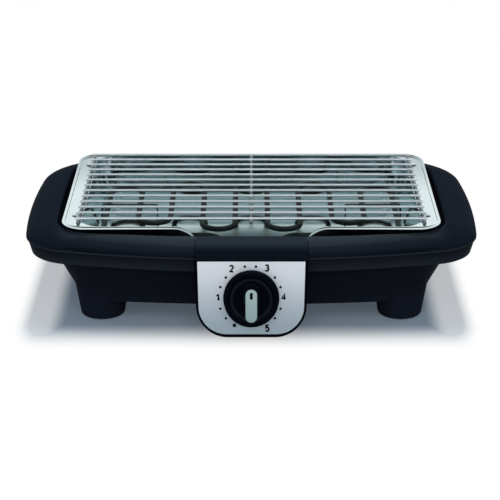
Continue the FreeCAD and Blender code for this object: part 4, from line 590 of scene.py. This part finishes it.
def raise_stroke(sketch, points, width, height):
    """A thin raised stroke along points, drawn on the fascia's axes."""
    sides = []
    for i, point in enumerate(points):
        before = (point - points[max(i - 1, 0)]).normalized()
        after = (points[min(i + 1, len(points) - 1)] - point).normalized()
        along = (before + after).normalized()
        reach = width / 2 / max(STROKE_BEND, along.dot(after or before))
        out = Vector((-along.y, along.x)) * reach
        edges = (point + out, point - out)
        sides.append([sketch.verts.new((*edge, z)) for edge in edges for z in (0, height)])
    for here, there in zip(sides, sides[1:]):
        for first, second in ((0, 1), (1, 3), (3, 2)):
            sketch.faces.new((here[first], here[second], there[second], there[first]))
    for foot_left, top_left, foot_right, top_right in (sides[0], sides[-1]):
        sketch.faces.new((foot_left, top_left, top_right, foot_right))


def bow(x, y, wide, high, start, end, steps=12):
    """Points along part of an ellipse, between two angles in degrees."""
    turns = (math.radians(start + (end - start) * i / steps) for i in range(steps + 1))
    return [(x + wide * math.cos(turn), y + high * math.sin(turn)) for turn in turns]


# Strokes of the dial's numbers, in shares of a number's width and height about its middle
NUMBER_STROKES = {
    "1": [[(-0.5, 0.22), (0.15, 0.5), (0.15, -0.5)]],
    "2": [bow(0, 0.22, 0.48, 0.28, 165, -35) + [(-0.5, -0.5), (0.5, -0.5)]],
    "3": [bow(0, 0.255, 0.42, 0.245, 160, -100), bow(0, -0.245, 0.48, 0.255, 100, -160)],
    "4": [[(0.55, -0.26), (-0.55, -0.26), (0.2, 0.5), (0.2, -0.5)]],
    "5": [[(0.42, 0.5), (-0.34, 0.5), (-0.4, 0.03)] + bow(0, -0.17, 0.48, 0.33, 140, -150)],
}


def number_mesh(text, sizes):
    """A dial number as thin raised strokes about its own middle."""
    sketch = bmesh.new()
    wide = sizes.number_width - sizes.number_stroke
    high = sizes.number_height - sizes.number_stroke
    for stroke in NUMBER_STROKES[text]:
        points = [Vector((x * wide, y * high)) for x, y in stroke]
        raise_stroke(sketch, points, sizes.number_stroke, sizes.ink_height)
    return mesh_from(f"dial_number_{text}", sketch)


# Steps that dress the grill and set up its studio


class GRILL_OT_base(bpy.types.Operator):
    """Finish the moulded base, its rim, feet and screws."""

    bl_idname = "grill.base"
    bl_label = "Base"

    def execute(self, context):
        looks = context.scene.grill_finishes
        # Lit and shaded copies of the moulding, by how far a face turns up
        front = (looks.plastic_slope_shaded, looks.plastic_half_lit, looks.plastic_top_highlight)
        shades = tuple(zip(RIM_TURNS, front))
        sides = tuple(zip(SIDE_TURNS, (looks.plastic, looks.plastic_side_shaded)))
        middle_shade, top_shade = BAND_SHADE
        # Painted tones by height: lit feet, a band lit at its foot and shaded below the rim, a ridge
        # highlight
        walls = (
            (FOOT_TOP, looks.plastic_foot_lit),
            (TUB_FOOT, looks.plastic),
            (TUB_TOP, looks.plastic),
            (BAND_FOOT, looks.plastic_band_lit),
            (BAND_MIDDLE, shade(looks.plastic_band_lit, middle_shade)),
            (BAND_TOP, shade(looks.plastic_band_lit, top_shade)),
            (RIDGE_FOOT, looks.plastic_ridge_highlight),
            (RIDGE_TOP, looks.plastic_ridge_highlight),
            (RIM_FOOT, looks.plastic),
        )
        plastic = moulded_plastic("base_moulding", shades, rough=(0.55, 0.65), sides=sides, walls=walls)
        dress(plastic, "base_tub", "rim_frame")
        dress(rubber("foot_rubber", looks.foot_rubber), *FOOT_PADS)
        dress(plated_metal("zinc_screws", looks.screw), "rim_screws")
        return {"FINISHED"}


class GRILL_OT_tray(bpy.types.Operator):
    """Finish the reflector tray."""

    bl_idname = "grill.tray"
    bl_label = "Reflector tray"

    def execute(self, context):
        looks = context.scene.grill_finishes
        dress(pressed_steel("tray_steel", looks, heights_of("reflector_tray")), "reflector_tray")
        return {"FINISHED"}


class GRILL_OT_grid(bpy.types.Operator):
    """Finish the wire grid and put its spot welds on."""

    bl_idname = "grill.grid"
    bl_label = "Wire grid"

    def execute(self, context):
        looks, sizes = context.scene.grill_finishes, context.scene.grill_print
        plating = drawn_wire("wire_plating", looks.wire)
        dress(plating, *GRID_WIRES, "grid_pegs")
        # The bars get a darker plating as painted shade under the wires
        dress(drawn_wire("bar_plating_shaded", looks.bar), *GRID_BARS)
        sketch = bmesh.new()
        for bar in GRID_BARS:
            bar_low, bar_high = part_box(bar)
            for wire in GRID_WIRES:
                wire_low, wire_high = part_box(wire)
                place = ((bar_low.x + bar_high.x) / 2, (wire_low.y + wire_high.y) / 2, bar_high.z)
                bead = Matrix.Translation(place) @ WELD_FORM
                bmesh.ops.create_icosphere(sketch, subdivisions=2, radius=sizes.weld_radius, matrix=bead)
        mesh = mesh_from("grid_welds", sketch)
        mesh.shade_smooth()
        new_piece("grid_welds", mesh, plating, "grid")
        return {"FINISHED"}


class GRILL_OT_element(bpy.types.Operator):
    """Finish the heating element and its support straps."""

    bl_idname = "grill.element"
    bl_label = "Heating element"

    def execute(self, context):
        looks = context.scene.grill_finishes
        dress(heated_steel("element_sheath", looks.sheath), "heating_element")
        dress(heated_steel("strap_steel", looks.strap), "element_support_left", "element_support_right")
        return {"FINISHED"}


class GRILL_OT_control_box(bpy.types.Operator):
    """Finish the control box and print its dial."""

    bl_idname = "grill.control_box"
    bl_label = "Control box"

    def execute(self, context):
        looks, sizes = context.scene.grill_finishes, context.scene.grill_print
        # Painted shade and highlight on the box by how far a face turns up
        shades = tuple(zip(BOX_TURNS, (looks.box_slope_shaded, looks.plastic_half_lit, looks.box_top_highlight)))
        dress(moulded_plastic("box_moulding", shades, rough=(0.5, 0.6)), "box_cover", "box_back")
        heights = heights_of("fascia_plate")
        # The fascia's silver darkens towards its foot as painted shade
        dress(satin_film("fascia_silver", looks.fascia_top, looks.fascia_foot_shaded, heights), "fascia_plate")
        ink = printed_ink("dial_ink", looks.print_ink)
        print_matrix = DIAL_MATRIX @ Matrix.Translation((sizes.print_shift, 0, 0))
        for text, (across, up) in NUMBER_PLACES.items():
            mesh = number_mesh(text, sizes)
            mesh.transform(print_matrix @ Matrix.Translation((across, up, 0)))
            new_piece(mesh.name, mesh, ink, "heater")
        sketch = bmesh.new()
        for angle in DOT_ANGLES:
            raise_dot(sketch, angle, sizes.dot_ring, sizes.dot_radius, sizes.ink_height)
        raise_dot(sketch, OFF_ANGLE, sizes.dot_ring, sizes.off_dot_radius, sizes.ink_height)
        mesh = mesh_from("dial_dots", sketch)
        mesh.transform(print_matrix)
        new_piece("dial_dots", mesh, ink, "heater")
        return {"FINISHED"}


class GRILL_OT_knob(bpy.types.Operator):
    """Finish the knob and print its pointer."""

    bl_idname = "grill.knob"
    bl_label = "Knob"

    def execute(self, context):
        looks, sizes = context.scene.grill_finishes, context.scene.grill_print
        # Painted highlight rings on the knob's edges
        tones = (looks.knob, looks.knob_edge_highlight, looks.knob)
        rings = [ring for edge in KNOB_HIGHLIGHTS for ring in zip(edge, tones)]
        dress(turned_plastic("knob_plastic", rings, sizes.knob_reach), "knob")
        heights = heights_of("knob_insert")
        # The insert's silver darkens towards its foot as painted shade
        dress(satin_film("insert_silver", looks.insert_top, looks.insert_foot_shaded, heights), "knob_insert")
        dress(plated_metal("shaft_steel", looks.shaft), "thermostat_shaft")
        vertices = frame["nodes"]["knob_insert"].data.vertices
        top = max((vertex.co - DIAL_CENTRE).dot(DIAL_OUT) for vertex in vertices)
        half = sizes.pointer_width / 2
        foot, head = sizes.pointer_foot, sizes.pointer_foot + sizes.pointer_length
        sketch = bmesh.new()
        corners = [(-half, foot), (half, foot), (half, head), (-half, head)]
        raise_outline(sketch, corners, sizes.ink_height)
        mesh = mesh_from("knob_pointer", sketch)
        mesh.transform(DIAL_MATRIX @ Matrix.Translation((0, 0, top)))
        ink = printed_ink("pointer_ink", looks.print_ink)
        new_piece("knob_pointer", mesh, ink, "knob")
        return {"FINISHED"}


class GRILL_OT_inside(bpy.types.Operator):
    """Finish the pieces inside the control box."""

    bl_idname = "grill.inside"
    bl_label = "Inside of the box"

    def execute(self, context):
        looks = context.scene.grill_finishes
        dress(plain_plastic("thermostat_case", looks.thermostat, rough=(0.4, 0.55)), "thermostat_body")
        dress(plated_metal("bracket_steel", looks.bracket), "thermostat_bracket", "element_clamp")
        screw = plated_metal("box_screw_steel", looks.screw)
        dress(screw, "box_screws", "thermostat_screws", "clamp_screws")
        dress(plain_plastic("seal_ceramic", looks.seal, rough=(0.55, 0.7), scale=500), "element_seals")
        dress(plated_metal("pin_brass", looks.pin), "element_pins")
        dress(plain_plastic("terminal_plastic", looks.terminal, rough=(0.4, 0.55)), "terminal_block")
        dress(braided_sleeve("lead_sleeve", looks.sleeve, looks.sleeve_thread), "inner_leads")
        dress(rubber("gland_rubber", looks.gland), "cord_gland")
        return {"FINISHED"}


class GRILL_OT_stage(bpy.types.Operator):
    """Set up the floor, the light and the camera."""

    bl_idname = "grill.stage"
    bl_label = "Studio"

    def execute(self, context):
        scene = context.scene
        scene.view_settings.view_transform = "Standard"
        self.make_floor(scene)
        self.make_world(scene)
        for name, (place, aim, width, power) in SOFTBOXES.items():
            self.make_softbox(scene, name, place, aim, width, power)
        self.make_camera(scene)
        return {"FINISHED"}

    def make_floor(self, scene):
        """A wide pale floor that goes over into plain white away from the grill."""
        sketch = bmesh.new()
        bmesh.ops.create_grid(sketch, x_segments=FLOOR_PANES, y_segments=FLOOR_PANES, size=FLOOR_REACH)
        floor = bpy.data.objects.new("floor", mesh_from("floor", sketch))
        looks = scene.grill_finishes
        made = Finish("studio_floor", looks.floor, Roughness=0.9, Specular_IOR_Level=0.0)
        path = made.add("ShaderNodeLightPath").outputs
        # Painted shadow and fill: the camera sees a darker floor that glows faintly of its own
        made.paint(made.blend(path["Is Camera Ray"], looks.floor, looks.floor_shade))
        made.shader.inputs["Emission Color"].default_value = (*looks.floor_glow, 1)
        made.join(path["Is Camera Ray"], made.shader.inputs["Emission Strength"])
        reach = made.chain(made.place, ("SUBTRACT", SHADOW_MIDDLE), ("ABSOLUTE", None))
        outside = made.chain(
            reach,
            ("SUBTRACT", SHADOW_HALF),
            ("MAXIMUM", (0, 0, 0)),
            ("MULTIPLY", SHADOW_STRETCH),
            ("LENGTH", None),
        )
        beside = made.ranged(made.part(reach, "X"), LIFT_REACH, high=SHADOW_LIFT)
        away = made.reckon("MAXIMUM", made.ranged(outside, SHADOW_FADE), beside)
        white = made.add("ShaderNodeEmission")
        seen = made.reckon("MAXIMUM", path["Is Camera Ray"], path["Is Glossy Ray"])
        made.join(made.ranged(seen, (0.0, 1.0), low=FLOOR_STRENGTH), white.inputs["Strength"])
        made.show(away, made.shader.outputs["BSDF"], white.outputs["Emission"], "OUTPUT_MATERIAL")
        floor.data.materials.append(made.material)
        scene.collection.objects.link(floor)

    def make_world(self, scene):
        """White to the eye and in reflections, softer as a light."""
        scene.world = bpy.data.worlds.new("studio_white")
        scene.world.use_nodes = True
        sky = Wiring(scene.world.node_tree)
        path = sky.add("ShaderNodeLightPath").outputs
        upward = sky.part(sky.add("ShaderNodeTexCoord").outputs["Generated"], "Z")
        ceiling = sky.ranged(upward, CEILING_SPAN, low=1.0, high=CEILING_STRENGTH)
        white = sky.find("BACKGROUND")
        white.inputs["Color"].default_value = (1, 1, 1, 1)
        sky.join(sky.reckon("MAXIMUM", path["Is Camera Ray"], ceiling), white.inputs["Strength"])
        ambient = sky.add("ShaderNodeBackground")
        ambient.inputs["Color"].default_value = (*scene.grill_finishes.ambient, 1)
        ambient.inputs["Strength"].default_value = AMBIENT_STRENGTH
        shaders = white.outputs["Background"], ambient.outputs["Background"]
        sky.show(path["Is Diffuse Ray"], *shaders, "OUTPUT_WORLD")

    def make_softbox(self, scene, name, place, aim, width, power):
        """A square softbox aimed at a point, unseen in reflections."""
        lamp = bpy.data.objects.new(name, bpy.data.lights.new(name, "AREA"))
        lamp.location = place
        lamp.rotation_euler = (Vector(aim) - Vector(place)).to_track_quat("-Z", "Y").to_euler()
        lamp.data.size = width
        lamp.data.energy = power
        lamp.data.color = scene.grill_finishes.lamp
        lamp.visible_glossy = False
        scene.collection.objects.link(lamp)

    def make_camera(self, scene):
        """A long lens that looks down on the grill's front."""
        camera = bpy.data.objects.new("camera", bpy.data.cameras.new("camera"))
        camera.location = CAMERA_PLACE
        camera.rotation_euler = (CAMERA_TILT, 0, 0)
        camera.data.lens = CAMERA_LENS
        camera.data.sensor_width = CAMERA_SENSOR
        camera.data.shift_x = CAMERA_SHIFT
        scene.collection.objects.link(camera)
        scene.camera = camera


OPERATORS = (
    GRILL_OT_base,
    GRILL_OT_tray,
    GRILL_OT_grid,
    GRILL_OT_element,
    GRILL_OT_control_box,
    GRILL_OT_knob,
    GRILL_OT_inside,
    GRILL_OT_stage,
)


class GRILL_PT_panel(bpy.types.Panel):
    """Finishes, print sizes and the steps that dress the grill."""

    bl_idname = "GRILL_PT_panel"
    bl_label = "Table Grill"
    bl_space_type = "VIEW_3D"
    bl_region_type = "UI"
    bl_category = "Table Grill"

    def draw(self, context):
        column = self.layout.column()
        for group in (context.scene.grill_finishes, context.scene.grill_print):
            for name in group.__annotations__:
                column.prop(group, name)
        for operator in OPERATORS:
            column.operator(operator.bl_idname)


CLASSES = (GrillFinishes, GrillPrint, *OPERATORS, GRILL_PT_panel)


def register():
    for cls in CLASSES:
        bpy.utils.register_class(cls)
    bpy.types.Scene.grill_finishes = PointerProperty(type=GrillFinishes)
    bpy.types.Scene.grill_print = PointerProperty(type=GrillPrint)


def unregister():
    del bpy.types.Scene.grill_print
    del bpy.types.Scene.grill_finishes
    for cls in reversed(CLASSES):
        bpy.utils.unregister_class(cls)


def main():
    register()
    bpy.ops.grill.base()
    bpy.ops.grill.tray()
    bpy.ops.grill.grid()
    bpy.ops.grill.element()
    bpy.ops.grill.control_box()
    bpy.ops.grill.knob()
    bpy.ops.grill.inside()
    bpy.ops.grill.stage()


if __name__ == "__main__":
    main()
